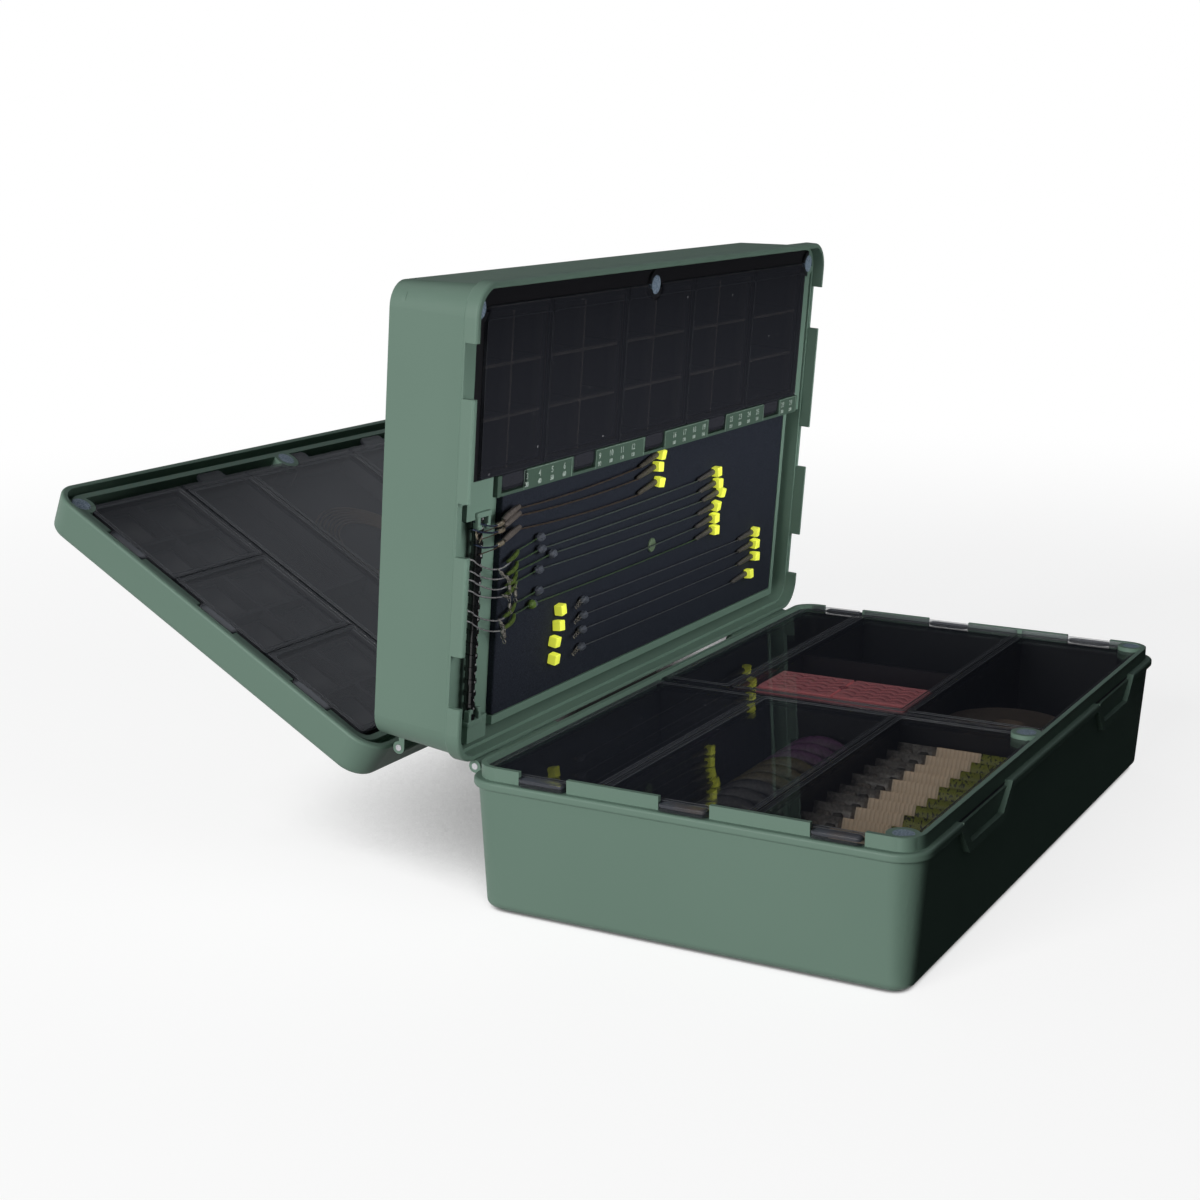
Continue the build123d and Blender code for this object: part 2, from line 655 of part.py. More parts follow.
def hook(x, tip_y):
    """A shank, a half turn round the bar and a point."""
    turn = bar_collar_radius + hook_wire + slack
    shank_z = bar_z - turn
    path = Wire([
        Edge.make_line((x, tip_y, shank_z), (x, bar_y, shank_z)),
        Edge.make_three_point_arc((x, bar_y, shank_z), (x, bar_y - turn, bar_z), (x, bar_y, bar_z + turn)),
        Edge.make_line((x, bar_y, bar_z + turn), (x, bar_y + hook_point, bar_z + turn))])
    start = Plane(origin=(x, tip_y, shank_z), z_dir=(0, -1, 0))
    return sweep(start * Circle(hook_wire), path=path)


line_z = foam_face - bead_radius - slack
pins, lines, beads, sleeves, hooks = [], [], [], [], []
shank_end = bar_y + hook_shank
for pin_x, pin_y, hook_x in long_rigs:
    tilt = (pin_x - hook_x) / (pin_y - shank_end)
    pins.append(pin_block(pin_x, pin_y))
    pin_edge = pin_y - pin_size[1] / 2
    sleeves.append(sleeve(pin_x, pin_edge, -1, tilt))
    sleeves.append(sleeve(hook_x, shank_end, 1, tilt))
    lines.append(rod((pin_x - sleeve_length * tilt, pin_edge - sleeve_length, line_z),
                     (hook_x + sleeve_length * tilt, shank_end + sleeve_length, line_z), line_radius))
    hooks.append(hook(hook_x, shank_end))
for pin_x, pin_y, hook_x, bead_y in bead_rigs:
    tilt = (pin_x - hook_x) / (pin_y - shank_end)
    bead_x = hook_x + (bead_y - shank_end) * tilt
    pins.append(pin_block(pin_x, pin_y))
    pin_edge = pin_y - pin_size[1] / 2
    sleeves.append(sleeve(pin_x, pin_edge, -1, tilt))
    beads.append(bead(bead_x, bead_y))
    lines.append(rod((pin_x - sleeve_length * tilt, pin_edge - sleeve_length, line_z),
                     (bead_x + bead_length / 2 * tilt, bead_y + bead_length / 2, line_z), line_radius))
    lines.append(rod((bead_x - bead_length / 2 * tilt, bead_y - bead_length / 2, line_z),
                     (hook_x, shank_end, line_z), line_radius))
    hooks.append(hook(hook_x, shank_end))
for pin_x, pin_y, near_x, near_y in pinned_rigs:
    tilt = (pin_x - near_x) / (pin_y - near_y)
    bead_x = near_x + (pinned_bead_y - near_y) * tilt
    pin_edge = pin_y - pin_size[1] / 2
    near_edge = near_y + pin_size[1] / 2
    pins += [pin_block(pin_x, pin_y), pin_block(near_x, near_y)]
    sleeves.append(sleeve(pin_x, pin_edge, -1, tilt))
    beads.append(bead(bead_x, pinned_bead_y))
    lines.append(rod((pin_x - sleeve_length * tilt, pin_edge - sleeve_length, line_z),
                     (bead_x + bead_length / 2 * tilt, pinned_bead_y + bead_length / 2, line_z), line_radius))
    lines.append(rod((bead_x - bead_length / 2 * tilt, pinned_bead_y - bead_length / 2, line_z),
                     (near_x, near_edge, line_z), line_radius))
keep("rig_pins", group(pins), "middle")
keep("rig_lines", group(lines), "middle")
keep("rig_beads", group(beads), "middle")
keep("rig_sleeves", group(sleeves), "middle")
keep("rig_hooks", group(hooks), "middle")

# Lid: outer skin, a rim that reaches over the middle box, and a second wall inside it
lid = drafted(0, lid_rim, lid_inset_top, lid_top)
lid = rounded_rims(lid, [lid_top], lid_top_round)
lid = rounded_rims(lid, [lid_rim], edge_round)
lid_inside = lid_top - lid_skin
lid -= slab(lid_rim_wall, lid_rim, groove_floor)
lid_ring = lid_rim_wall + groove_width
ring_inset = lid_ring + second_wall
off_hinge = Pos(second_wall_hinge_gap, 0, 0)
ring_outer = slab(lid_ring, lid_deck, groove_floor) & (off_hinge * slab(lid_ring, lid_deck, groove_floor))
ring_room = slab(ring_inset, lid_deck, lid_inside) & (off_hinge * slab(ring_inset, lid_deck, lid_inside))
lid += ring_outer
lid -= ring_room
for end in (-1, 1):
    for tab_x in lid_cell_tab_x:
        notch_y = sorted((end * (half_y - lid_ring - second_wall - slack), end * (half_y - lid_ring + slack)))
        lid -= block((tab_x - notch_width / 2, tab_x + notch_width / 2), notch_y,
                     (lid_deck, lid_deck + flap_thickness + flap_rest))
for boss in bosses(lid_magnet_x, lid_deck, lid_inside):
    lid += boss & slab(lid_ring, lid_deck, lid_inside)
for disc in magnet_discs(lid_magnet_x, lid_deck, 1, magnet_radius + magnet_clearance):
    lid -= disc
lid_web_z = (lid_hinge_z, lid_hinge_z + knuckle_radius)
for knuckle in knuckles(lid_hinge_z, "upper", -half_x + lid_rim_wall - slack, lid_web_z):
    lid += knuckle
lid -= block((-half_x + lid_rim_wall, half_x - lid_rim_wall), (-half_y, half_y), (hinge_z, lid_rim))
for room in knuckle_room(lid_hinge_z, "lower"):
    lid -= room
lid -= hinge_bores(lid_hinge_z)
keep("lid_shell", lid, "lid")
keep("lid_magnets", group(magnet_discs(lid_magnet_x, lid_deck, 1, magnet_radius)), "lid")

# Lid tray: cells at both ends and three long strips between them
lid_frame_face = lid_deck + flap_rest + flap_thickness
tray_box = block(lid_frame_x, lid_frame_y, (lid_frame_face, lid_inside))
for room in boss_room(lid_magnet_x, lid_deck, lid_inside):
    tray_box -= room
cell_cuts = (lid_frame_x[0], *lid_cell_cuts_x, lid_frame_x[1])
strip_cuts = (lid_frame_y[0], *lid_strip_cuts_y, lid_frame_y[1])
lid_cell_depth = (lid_frame_face, lid_inside - lid_tray_floor)
boss_walls = [Pos(px, py, lid_frame_face) * extrude(Circle(boss_radius + slack + tray_wall),
              lid_inside - lid_frame_face) for px, py in magnet_places(lid_magnet_x)]


def hollow(x_pair, y_pair, columns, rows):
    """Cells between two pairs of cut lines, with walls between and around them."""
    cells = []
    step_x = (x_pair[1] - x_pair[0]) / columns
    step_y = (y_pair[1] - y_pair[0]) / rows
    for column in range(columns):
        for row in range(rows):
            x0, y0 = x_pair[0] + column * step_x, y_pair[0] + row * step_y
            cell = block((x0 + tray_wall, x0 + step_x - tray_wall), (y0 + tray_wall, y0 + step_y - tray_wall),
                         lid_cell_depth)
            for boss_wall in boss_walls:
                cell -= boss_wall
            cells.append(cell)
    pocket = block((x_pair[0] + tray_wall, x_pair[1] - tray_wall),
                   (y_pair[0] + tray_wall, y_pair[1] - tray_wall),
                   (lid_frame_face, lid_frame_face + border_room))
    return cells + [pocket]


lid_cells = []
for index in range(len(cell_cuts) - 1):
    for ends in ((strip_cuts[0], strip_cuts[1]), (strip_cuts[4], strip_cuts[5])):
        lid_cells += hollow((cell_cuts[index], cell_cuts[index + 1]), ends, 2, 2)
for index in (1, 2, 3):
    lid_cells += hollow(lid_frame_x, (strip_cuts[index], strip_cuts[index + 1]), 2 if index == 1 else 1, 1)
for cell in lid_cells:
    tray_box -= cell
lid_axis_z = lid_deck + flap_barrel
strip_hinge_x = lid_frame_x[0] + tray_wall
cell_hinge_y = (strip_cuts[1] - flap_barrel - barrel_clearance, strip_cuts[4] + flap_barrel + barrel_clearance)
for barrel_y in cell_hinge_y:
    tray_box -= rod((lid_frame_x[0], barrel_y, lid_axis_z), (lid_frame_x[1], barrel_y, lid_axis_z),
                    flap_barrel + barrel_clearance)
tray_box -= rod((strip_hinge_x, strip_cuts[1], lid_axis_z), (strip_hinge_x, strip_cuts[4], lid_axis_z),
                flap_barrel + barrel_clearance)
keep("lid_tray", tray_box, "lid")

# Lid flaps: three over the cells at each end, hinged beside the strips, and three over
# the strips, hinged by the lid's own hinge side
lid_rooms = boss_room(lid_magnet_x, lid_deck - 1, lid_inside)
for end, label, along in ((0, "near", (1, 0, 0)), (1, "far", (-1, 0, 0))):
    for index, tab_x in enumerate(lid_cell_tab_x):
        left, right = cell_cuts[index], cell_cuts[index + 1]
        middle = (left + right) / 2
        reach = abs(lid_frame_y[end] - cell_hinge_y[end])
        solid = flap(right - left, reach, along[0] * (tab_x - middle), tab_width, lid_tab_reach, flap_thickness)
        solid = laid(solid, (middle, cell_hinge_y[end], lid_axis_z), along, (0, 0, -1))
        keep("lid_flap_" + label + "_" + str(index + 1), cleared(solid, lid_rooms), "lid")
for index in (1, 2, 3):
    first, last = strip_cuts[index], strip_cuts[index + 1]
    reach = lid_frame_x[1] - strip_hinge_x
    solid = flap(last - first, reach, 0, lid_strip_tab_width, lid_tab_reach, flap_thickness)
    solid = laid(solid, (strip_hinge_x, (first + last) / 2, lid_axis_z), (0, 1, 0), (0, 0, -1))
    keep("lid_flap_strip_" + str(index), cleared(solid, lid_rooms), "lid")

# Contents. Packets lean on each other in the right near compartment, in three bands:
# a clear one, a ribbed tan one and a label.
def leaning(size, x, y, lean, foot_z):
    """A slab whose lower edge is at y and which leans back to the far side."""
    slab_solid = block((x - size[0] / 2, x + size[0] / 2), (0, size[2]), (0, size[1]))
    return Pos(0, y, foot_z) * (Rot(-lean, 0, 0) * slab_solid)


packet_names = ("packets_clear", "packets_tan", "packets_label")
packet_foot = cavity_bottom + packet_size[2] * sin(radians(packet_lean)) + slack / 3
packet_first_y = -half_y + packet_start_inset
packet_pitch = (centre_wall_y - packet_last_gap - packet_first_y) / (packet_count - 1)
left = near_divider_x[1] + packet_divider_gap - packet_size[0] / 2
for name, share in zip(packet_names, packet_shares):
    band = (packet_size[0] * share, packet_size[1], packet_size[2])
    rows = [leaning(band, left + band[0] / 2, packet_first_y + index * packet_pitch, packet_lean, packet_foot)
            for index in range(packet_count)]
    keep(name, group(rows))
    left += band[0]

# Leader spools lean in the middle near compartment
spool_x = (near_divider_x[0] + near_divider_x[1]) / 2
lean_run = sin(radians(spool_lean))
spool_z = cavity_bottom + spool_radius * cos(radians(spool_lean)) + spool_thickness / 2 * lean_run + slack / 3
spool_first_y = -half_y + spool_start_inset
spool_pitch = (centre_wall_y - spool_last_gap - spool_first_y) / (sum(spool_counts) - 1)
count = 0
for name, number in zip(("spools_dark", "spools_olive", "spools_purple"), spool_counts):
    discs = []
    for index in range(number):
        disc = extrude(Circle(spool_radius) - Circle(spool_hole), spool_thickness)
        disc = fillet(disc.edges().filter_by(GeomType.CIRCLE), spool_thickness / 5)
        disc = Pos(0, 0, -spool_thickness / 2) * disc
        place = Pos(spool_x, spool_first_y + (count + index) * spool_pitch, spool_z)
        discs.append(place * (Rot(90 - spool_lean, 0, 0) * disc))
    count += number
    keep(name, group(discs))

# Ribbed case in the far middle compartment
case_x = (far_divider_x[0] + case_divider_gaps[0], far_divider_x[1] - case_divider_gaps[1])
case_top = rest_z - border_room - case_headroom
case = block(case_x, case_y, (cavity_bottom, case_top))
case = fillet(case.edges(), case_rib_depth)
rib_pitch = (case_x[1] - case_x[0]) / (case_ribs + 1)
for index in range(case_ribs):
    rib_x = case_x[0] + (index + 1) * rib_pitch
    case -= block((rib_x - rib_pitch / 4, rib_x + rib_pitch / 4),
                  (case_y[0] + rib_pitch, case_y[1] - rib_pitch),
                  (case_top - case_rib_depth, case_top))
keep("hook_case", case)

# Reel of line in the far right compartment
reel = Pos(*reel_place, cavity_bottom)
spindle = reel_radius - 2 * reel_core_inset
body = extrude(Circle(spindle), reel_height)
for flange_z in (0, reel_height - reel_flange):
    body += Pos(0, 0, flange_z) * extrude(Circle(reel_radius), reel_flange)
body -= extrude(Circle(spool_hole), reel_height)
keep("line_reel", reel * body)
winding_side = (reel_flange + slack / 3, reel_height - reel_flange - slack / 3)
winding = Pos(0, 0, winding_side[0]) * extrude(
    Circle(reel_radius - reel_core_inset) - Circle(spindle + slack / 3), winding_side[1] - winding_side[0])
keep("reel_line", reel * winding)

# Coil of line in the wide strip of the lid: half turns whose centres step to and fro
coil_z = lid_inside - lid_tray_floor - coil_wire_radius - slack / 3
edges = []
radius = coil_inner_radius
at = Vector(coil_centre[0] - radius, coil_centre[1], coil_z)
for half_turn in range(2 * coil_turns):
    way = 1 if half_turn % 2 == 0 else -1
    end = at + Vector(way * 2 * radius, 0, 0)
    top = at + Vector(way * radius, way * radius, 0)
    edges.append(Edge.make_three_point_arc(at, top, end))
    at = end
    radius += coil_step / 2
coil_start = Plane(origin=(coil_centre[0] - coil_inner_radius, coil_centre[1], coil_z), z_dir=(0, 1, 0))
coil = sweep(coil_start * Circle(coil_wire_radius), path=Wire(edges))
keep("line_coil", coil, "lid")
print("gap between the coil's turns", round(coil_step - 2 * coil_wire_radius, 3))
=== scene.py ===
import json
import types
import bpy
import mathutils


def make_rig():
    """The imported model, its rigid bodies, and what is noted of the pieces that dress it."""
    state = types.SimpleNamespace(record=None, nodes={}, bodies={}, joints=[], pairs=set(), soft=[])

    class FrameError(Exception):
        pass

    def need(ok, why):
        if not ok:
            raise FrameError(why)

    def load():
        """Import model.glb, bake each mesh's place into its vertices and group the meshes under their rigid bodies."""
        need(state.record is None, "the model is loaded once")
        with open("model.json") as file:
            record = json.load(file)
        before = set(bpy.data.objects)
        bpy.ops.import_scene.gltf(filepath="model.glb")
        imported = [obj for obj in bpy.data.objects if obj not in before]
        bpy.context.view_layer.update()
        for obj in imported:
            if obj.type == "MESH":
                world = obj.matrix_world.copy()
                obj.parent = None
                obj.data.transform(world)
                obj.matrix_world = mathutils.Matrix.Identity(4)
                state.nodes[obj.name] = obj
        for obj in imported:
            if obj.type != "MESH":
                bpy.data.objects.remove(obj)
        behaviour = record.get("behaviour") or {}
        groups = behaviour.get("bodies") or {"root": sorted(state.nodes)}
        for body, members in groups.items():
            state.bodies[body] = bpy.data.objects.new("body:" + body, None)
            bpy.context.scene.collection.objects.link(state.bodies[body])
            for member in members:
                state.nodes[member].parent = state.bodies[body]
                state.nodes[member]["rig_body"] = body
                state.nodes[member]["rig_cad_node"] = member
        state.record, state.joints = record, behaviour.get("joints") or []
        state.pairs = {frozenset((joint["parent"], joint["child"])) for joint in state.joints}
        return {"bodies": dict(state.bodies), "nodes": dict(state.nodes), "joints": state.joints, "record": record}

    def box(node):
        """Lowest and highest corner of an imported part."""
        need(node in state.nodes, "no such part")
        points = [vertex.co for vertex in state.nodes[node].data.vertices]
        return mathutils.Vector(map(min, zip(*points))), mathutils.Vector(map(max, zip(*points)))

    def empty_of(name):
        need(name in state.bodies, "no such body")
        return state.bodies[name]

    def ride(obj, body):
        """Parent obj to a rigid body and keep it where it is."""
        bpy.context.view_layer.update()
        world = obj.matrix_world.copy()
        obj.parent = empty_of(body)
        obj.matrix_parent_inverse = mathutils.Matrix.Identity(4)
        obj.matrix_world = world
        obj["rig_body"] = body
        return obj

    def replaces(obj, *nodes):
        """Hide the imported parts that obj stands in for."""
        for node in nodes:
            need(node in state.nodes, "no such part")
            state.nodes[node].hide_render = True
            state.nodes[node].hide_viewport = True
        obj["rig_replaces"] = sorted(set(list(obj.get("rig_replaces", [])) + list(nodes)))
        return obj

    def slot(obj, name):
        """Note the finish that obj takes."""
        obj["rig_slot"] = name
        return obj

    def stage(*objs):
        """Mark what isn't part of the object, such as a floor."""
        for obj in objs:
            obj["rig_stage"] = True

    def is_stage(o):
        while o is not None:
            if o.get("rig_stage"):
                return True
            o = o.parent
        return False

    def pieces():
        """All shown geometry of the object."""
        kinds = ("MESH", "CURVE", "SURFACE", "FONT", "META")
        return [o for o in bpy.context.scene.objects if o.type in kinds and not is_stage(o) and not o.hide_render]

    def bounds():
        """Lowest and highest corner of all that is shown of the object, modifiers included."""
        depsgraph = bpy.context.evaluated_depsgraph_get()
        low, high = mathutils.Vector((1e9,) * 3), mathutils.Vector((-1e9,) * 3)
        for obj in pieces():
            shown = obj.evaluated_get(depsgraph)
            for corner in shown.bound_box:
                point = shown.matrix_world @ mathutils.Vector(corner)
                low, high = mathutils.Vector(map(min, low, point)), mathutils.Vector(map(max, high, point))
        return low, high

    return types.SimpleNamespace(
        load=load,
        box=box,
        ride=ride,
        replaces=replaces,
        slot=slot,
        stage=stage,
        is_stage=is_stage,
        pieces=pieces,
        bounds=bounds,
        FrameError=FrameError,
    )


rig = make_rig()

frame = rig.load()
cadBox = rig.bounds()

import json
import bpy
import numpy as np
from mathutils import Matrix, Vector

nodes = frame["nodes"]
scene = bpy.context.scene
scene.view_settings.view_transform = "Standard"
mm = 0.001

# The storeys fold like a book: each is worked out shut, in millimetres, and then turned open
hinges = {"x": -95.5, "middleZ": 54.84, "lidZ": 90.5, "middleOpen": 86.3, "lidOpen": 64.2}


def turnAboutY(points, x, z, degrees):
    # x' = x cos t + z sin t and z' = z cos t - x sin t, round a line along Y
    t = np.radians(degrees)
    out = np.array(points, float)
    dx, dz = out[..., 0] - x, out[..., 2] - z
    out[..., 0] = x + dx * np.cos(t) + dz * np.sin(t)
    out[..., 2] = z - dx * np.sin(t) + dz * np.cos(t)
    return out


def folded(points, storey, way):
    # way -1 opens the stack, the lid before the storey that carries it, and way 1 shuts it again
    names = {"lid": ["lid", "middle"], "middle": ["middle"]}.get(storey, [])
    for name in names[::-way]:
        points = turnAboutY(points, hinges["x"], hinges[name + "Z"], way * hinges[name + "Open"])
    return points


def opened(points, storey):
    return folded(points, storey, -1) * mm


def shut(points, storey):
    return folded(points / mm, storey, 1)


# Camera
camera = {"eye": (315.3, -811.2, 298.2), "yaw": -28.48, "pitch": -13.18, "roll": 0.31,
          "focal": 2080.32, "imageWidth": 1200, "sensor": 36.0, "centre": (593.28, 613.73)}
yaw, pitch, roll = np.radians([camera["yaw"], camera["pitch"], camera["roll"]])
forward = np.array([np.sin(yaw) * np.cos(pitch), np.cos(yaw) * np.cos(pitch), np.sin(pitch)])
right = np.cross(forward, (0, 0, 1))
right /= np.linalg.norm(right)
above = np.cross(right, forward)
rolledRight = np.cos(roll) * right + np.sin(roll) * above
rolledAbove = np.cos(roll) * above - np.sin(roll) * right
cameraData = bpy.data.cameras.new("photoCamera")
cameraData.sensor_width = camera["sensor"]
cameraData.lens = camera["focal"] / camera["imageWidth"] * camera["sensor"]
cameraData.shift_x = (camera["imageWidth"] / 2 - camera["centre"][0]) / camera["imageWidth"]
cameraData.shift_y = (camera["centre"][1] - camera["imageWidth"] / 2) / camera["imageWidth"]
cameraData.clip_end = 50
cameraObject = bpy.data.objects.new("photoCamera", cameraData)
scene.collection.objects.link(cameraObject)
turned = np.identity(4)
turned[:3, 0], turned[:3, 1], turned[:3, 2] = rolledRight, rolledAbove, -forward
turned[:3, 3] = np.array(camera["eye"]) * mm
cameraObject.matrix_world = Matrix(turned.tolist())
scene.camera = cameraObject
print("camera is set")

# Light: a large soft lamp low in front on the left, a long low panel over the base that faces the middle
# storey, a weak one from behind, and a dim room
lamps = {
    "key": {"at": (-0.45, -3.3, 0.95), "aim": (-0.05, 0, 0.08), "size": (1.6, 1.6), "power": 97,
            "colour": (1.0, 1.0, 0.985)},
    "panel": {"at": (0.088, 0.02, 0.17), "aim": (-0.1, 0.02, 0.15), "size": (0.5, 0.13), "power": 0.28,
              "colour": (1.0, 1.0, 1.0)},
    "back": {"at": (-1.7, 1.9, 0.42), "aim": (-0.1, 0, 0.12), "size": (1.0, 0.8), "power": 5.5,
             "colour": (0.97, 0.99, 1.0)},
}
for lampName, lamp in lamps.items():
    lampData = bpy.data.lights.new(lampName, "AREA")
    lampData.shape = "RECTANGLE"
    lampData.size, lampData.size_y = lamp["size"]
    lampData.energy = lamp["power"]
    lampData.color = lamp["colour"]
    lampObject = bpy.data.objects.new(lampName, lampData)
    lampObject.location = lamp["at"]
    aim = Vector(lamp["aim"]) - Vector(lamp["at"])
    lampObject.rotation_euler = aim.to_track_quat("-Z", "Y").to_euler()
    if lampName == "panel":
        lampData.spread = np.radians(85)
        lampObject.visible_camera = lampObject.visible_glossy = lampObject.visible_transmission = False
    scene.collection.objects.link(lampObject)

room = {"dim": (0.055, 0.058, 0.062, 1), "white": (1, 1, 1, 1)}


class Shading:
    # Short ways to add nodes to a tree
    def __init__(self, tree):
        self.tree = tree

    def add(self, kind, links=None, **settings):
        node = self.tree.nodes.new(kind)
        for key, value in settings.items():
            setattr(node, key, value)
        for socket, source in (links or {}).items():
            if isinstance(source, bpy.types.NodeSocket):
                self.tree.links.new(source, node.inputs[socket])
            else:
                node.inputs[socket].default_value = source
        return node

    def spread(self, source, low, high, outLow=0.0, outHigh=1.0, way="LINEAR"):
        return self.add("ShaderNodeMapRange", {"Value": source, "From Min": low, "From Max": high, "To Min": outLow,
                                               "To Max": outHigh}, interpolation_type=way).outputs[0]

    def combine(self, operation, first, second):
        return self.add("ShaderNodeMath", {0: first, 1: second}, operation=operation).outputs[0]

    def seen(self):
        # 1 for rays that look at the background by sight, mirror or glass, and 0 for the rest
        path = self.add("ShaderNodeLightPath").outputs
        byEye = self.combine("MAXIMUM", path["Is Camera Ray"], path["Is Glossy Ray"])
        return self.combine("MAXIMUM", byEye, path["Is Transmission Ray"])


class Surface(Shading):
    # A material with its Principled shader at hand
    def __init__(self, name, colour, roughness, **sockets):
        self.material = bpy.data.materials.new(name)
        self.material.use_nodes = True
        super().__init__(self.material.node_tree)
        self.shader = self.tree.nodes["Principled BSDF"]
        self.shader.inputs["Base Color"].default_value = (*colour, 1)
        self.shader.inputs["Roughness"].default_value = roughness
        for socket, value in sockets.items():
            self.shader.inputs[socket.replace("_", " ")].default_value = value
        self.place = self.add("ShaderNodeTexCoord").outputs["Object"]

    def noise(self, scale, detail=2.0, roughness=0.5, vector=None):
        return self.add("ShaderNodeTexNoise", {"Vector": vector or self.place, "Scale": scale,
                                               "Detail": detail, "Roughness": roughness}).outputs[0]

    def blend(self, factor, first, second):
        # A colour between two others
        mix = self.add("ShaderNodeMix", {0: factor}, data_type="RGBA")
        for index, value in ((6, first), (7, second)):
            if isinstance(value, bpy.types.NodeSocket):
                self.tree.links.new(value, mix.inputs[index])
            else:
                mix.inputs[index].default_value = (*value, 1)
        return mix.outputs[2]

    def feed(self, socket, source):
        self.tree.links.new(source, self.shader.inputs[socket])

    def colour(self, source):
        self.feed("Base Color", source)

    def axes(self):
        return self.add("ShaderNodeSeparateXYZ", {0: self.place}).outputs

    def scaled(self, scale):
        return self.add("ShaderNodeMapping", {"Vector": self.place, "Scale": scale}).outputs[0]

    def bump(self, height, strength, distance):
        node = self.add("ShaderNodeBump", {"Height": height, "Strength": strength, "Distance": distance})
        self.feed("Normal", node.outputs[0])


world = bpy.data.worlds.new("room")
world.use_nodes = True
scene.world = world
sky = Shading(world.node_tree)
dimRoom = sky.tree.nodes["Background"]
dimRoom.inputs["Color"].default_value = room["dim"]
whiteRoom = sky.add("ShaderNodeBackground", {"Color": room["white"]})
mixedRoom = sky.add("ShaderNodeMixShader", {0: sky.seen(), 1: dimRoom.outputs[0], 2: whiteRoom.outputs[0]})
sky.tree.links.new(mixedRoom.outputs[0], sky.tree.nodes["World Output"].inputs[0])


def stageSheet(name, corners, colour):
    mesh = bpy.data.meshes.new(name)
    mesh.from_pydata(corners, [], [(0, 1, 2, 3)])
    sheet = bpy.data.objects.new(name, mesh)
    scene.collection.objects.link(sheet)
    surface = Surface(name, colour, 1.0, Specular_IOR_Level=0.0)
    mesh.materials.append(surface.material)
    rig.stage(sheet)
    return sheet, surface


# Floor: pale near the object, where it takes the shadow, and plain white further off. It goes dark in painted shade
# where it is closed in under the storeys, and in a painted shadow, an oval behind the base, where "open" is the share
# of the sky that ends this
floor = {"half": 9.0, "albedo": 0.36, "lit": 0.5, "near": 0.45, "far": 1.3, "around": 0.35, "closedIn": (0.1, 0.35)}
shadowOval = {"centre": (-0.19, 0.185), "stretch": 6.0, "core": 0.013, "reach": 0.036, "least": 0.012, "slope": -0.98,
        "open": (0.64, 0.68)}
h = floor["half"]
_, s = stageSheet("paleFloor", [(-h, -h, 0), (h, -h, 0), (h, h, 0), (-h, h, 0)], (1, 1, 1))
distance = s.add("ShaderNodeVectorMath", {0: s.place}, operation="LENGTH").outputs["Value"]
near = s.spread(distance, floor["near"], floor["far"], 1, 0, "SMOOTHSTEP")
taken = s.combine("MULTIPLY", near, floor["albedo"])   # the share of light that the floor gives back itself
squeezed = s.scaled((1, 1 / shadowOval["stretch"], 1))
ovalCentre = (shadowOval["centre"][0], shadowOval["centre"][1] / shadowOval["stretch"], 0)
behind = s.add("ShaderNodeVectorMath", {0: squeezed, 1: ovalCentre}, operation="DISTANCE").outputs["Value"]
openness = s.add("ShaderNodeAmbientOcclusion", {"Distance": floor["around"]}).outputs["AO"]
outside = s.spread(behind, shadowOval["core"], shadowOval["reach"], shadowOval["least"], 1, "SMOOTHSTEP")
# the limit rises to the far side, where the sky is wider anyway
openAlong = s.combine("ADD", s.combine("MULTIPLY", s.axes()["Y"], shadowOval["slope"]), openness)
# 1 where the floor is open, and less in the painted shadow of the oval and the painted shade under the storeys
dark = s.combine("MAXIMUM", outside, s.spread(openAlong, *shadowOval["open"]))
seen = s.seen()
s.colour(s.combine("MULTIPLY", taken, s.combine("MULTIPLY", seen, dark)))
# what is missing to white where no shadow falls
missing = s.add("ShaderNodeMath", {0: taken, 1: -floor["lit"], 2: 1}, operation="MULTIPLY_ADD").outputs[0]
given = s.combine("MULTIPLY", s.combine("MULTIPLY", missing, seen), s.spread(openness, *floor["closedIn"]))
s.shader.inputs["Emission Color"].default_value = (1, 1, 1, 1)
s.feed("Emission Strength", s.combine("MULTIPLY", given, dark))

# Black cards, as in a product studio: only mirrors see them
cards = {
    "cardRight": [(0.6, -1.2, 0.0), (0.6, 1.5, 0.0), (0.6, 1.5, 3.2), (0.6, -1.2, 3.2)],
    "cardBack": [(-3.0, 1.5, 0.0), (1.2, 1.5, 0.0), (1.2, 1.5, 3.2), (-3.0, 1.5, 3.2)],
    "cardLow": [(-1.6, 0.24, 0.002), (0.6, 0.24, 0.002), (0.6, 1.5, 0.002), (-1.6, 1.5, 0.002)],
    "cardWall": [(0.088, -0.6, 0.0015), (0.6, -0.6, 0.0015), (0.6, 0.24, 0.0015), (0.088, 0.24, 0.0015)],
}
cardGlow = {"rise": (0.78, 1.08), "power": 0.75, "side": (-0.85, -0.5), "grey": (0.88, 0.92, 1.0, 1), "wall": 0.024,
            "green": (0.7, 1.0, 0.9, 1)}
for cardName, corners in cards.items():
    card, s = stageSheet(cardName, corners, (0.01, 0.01, 0.012))
    if cardName == "cardBack":
        # grey above, which the lid's flaps mirror, and black below and to the left
        axes = s.axes()
        rise = s.spread(axes["Z"], *cardGlow["rise"], 0.0, cardGlow["power"], "SMOOTHSTEP")
        s.shader.inputs["Emission Color"].default_value = cardGlow["grey"]
        side = s.spread(axes["X"], *cardGlow["side"], way="SMOOTHSTEP")
        s.feed("Emission Strength", s.combine("MULTIPLY", rise, side))
    if cardName == "cardWall":
        s.shader.inputs["Emission Color"].default_value = cardGlow["green"]
        s.shader.inputs["Emission Strength"].default_value = cardGlow["wall"]
    card.visible_camera = card.visible_diffuse = card.visible_transmission = False
    card.visible_shadow = card.visible_volume_scatter = False
print("light and floor are set")


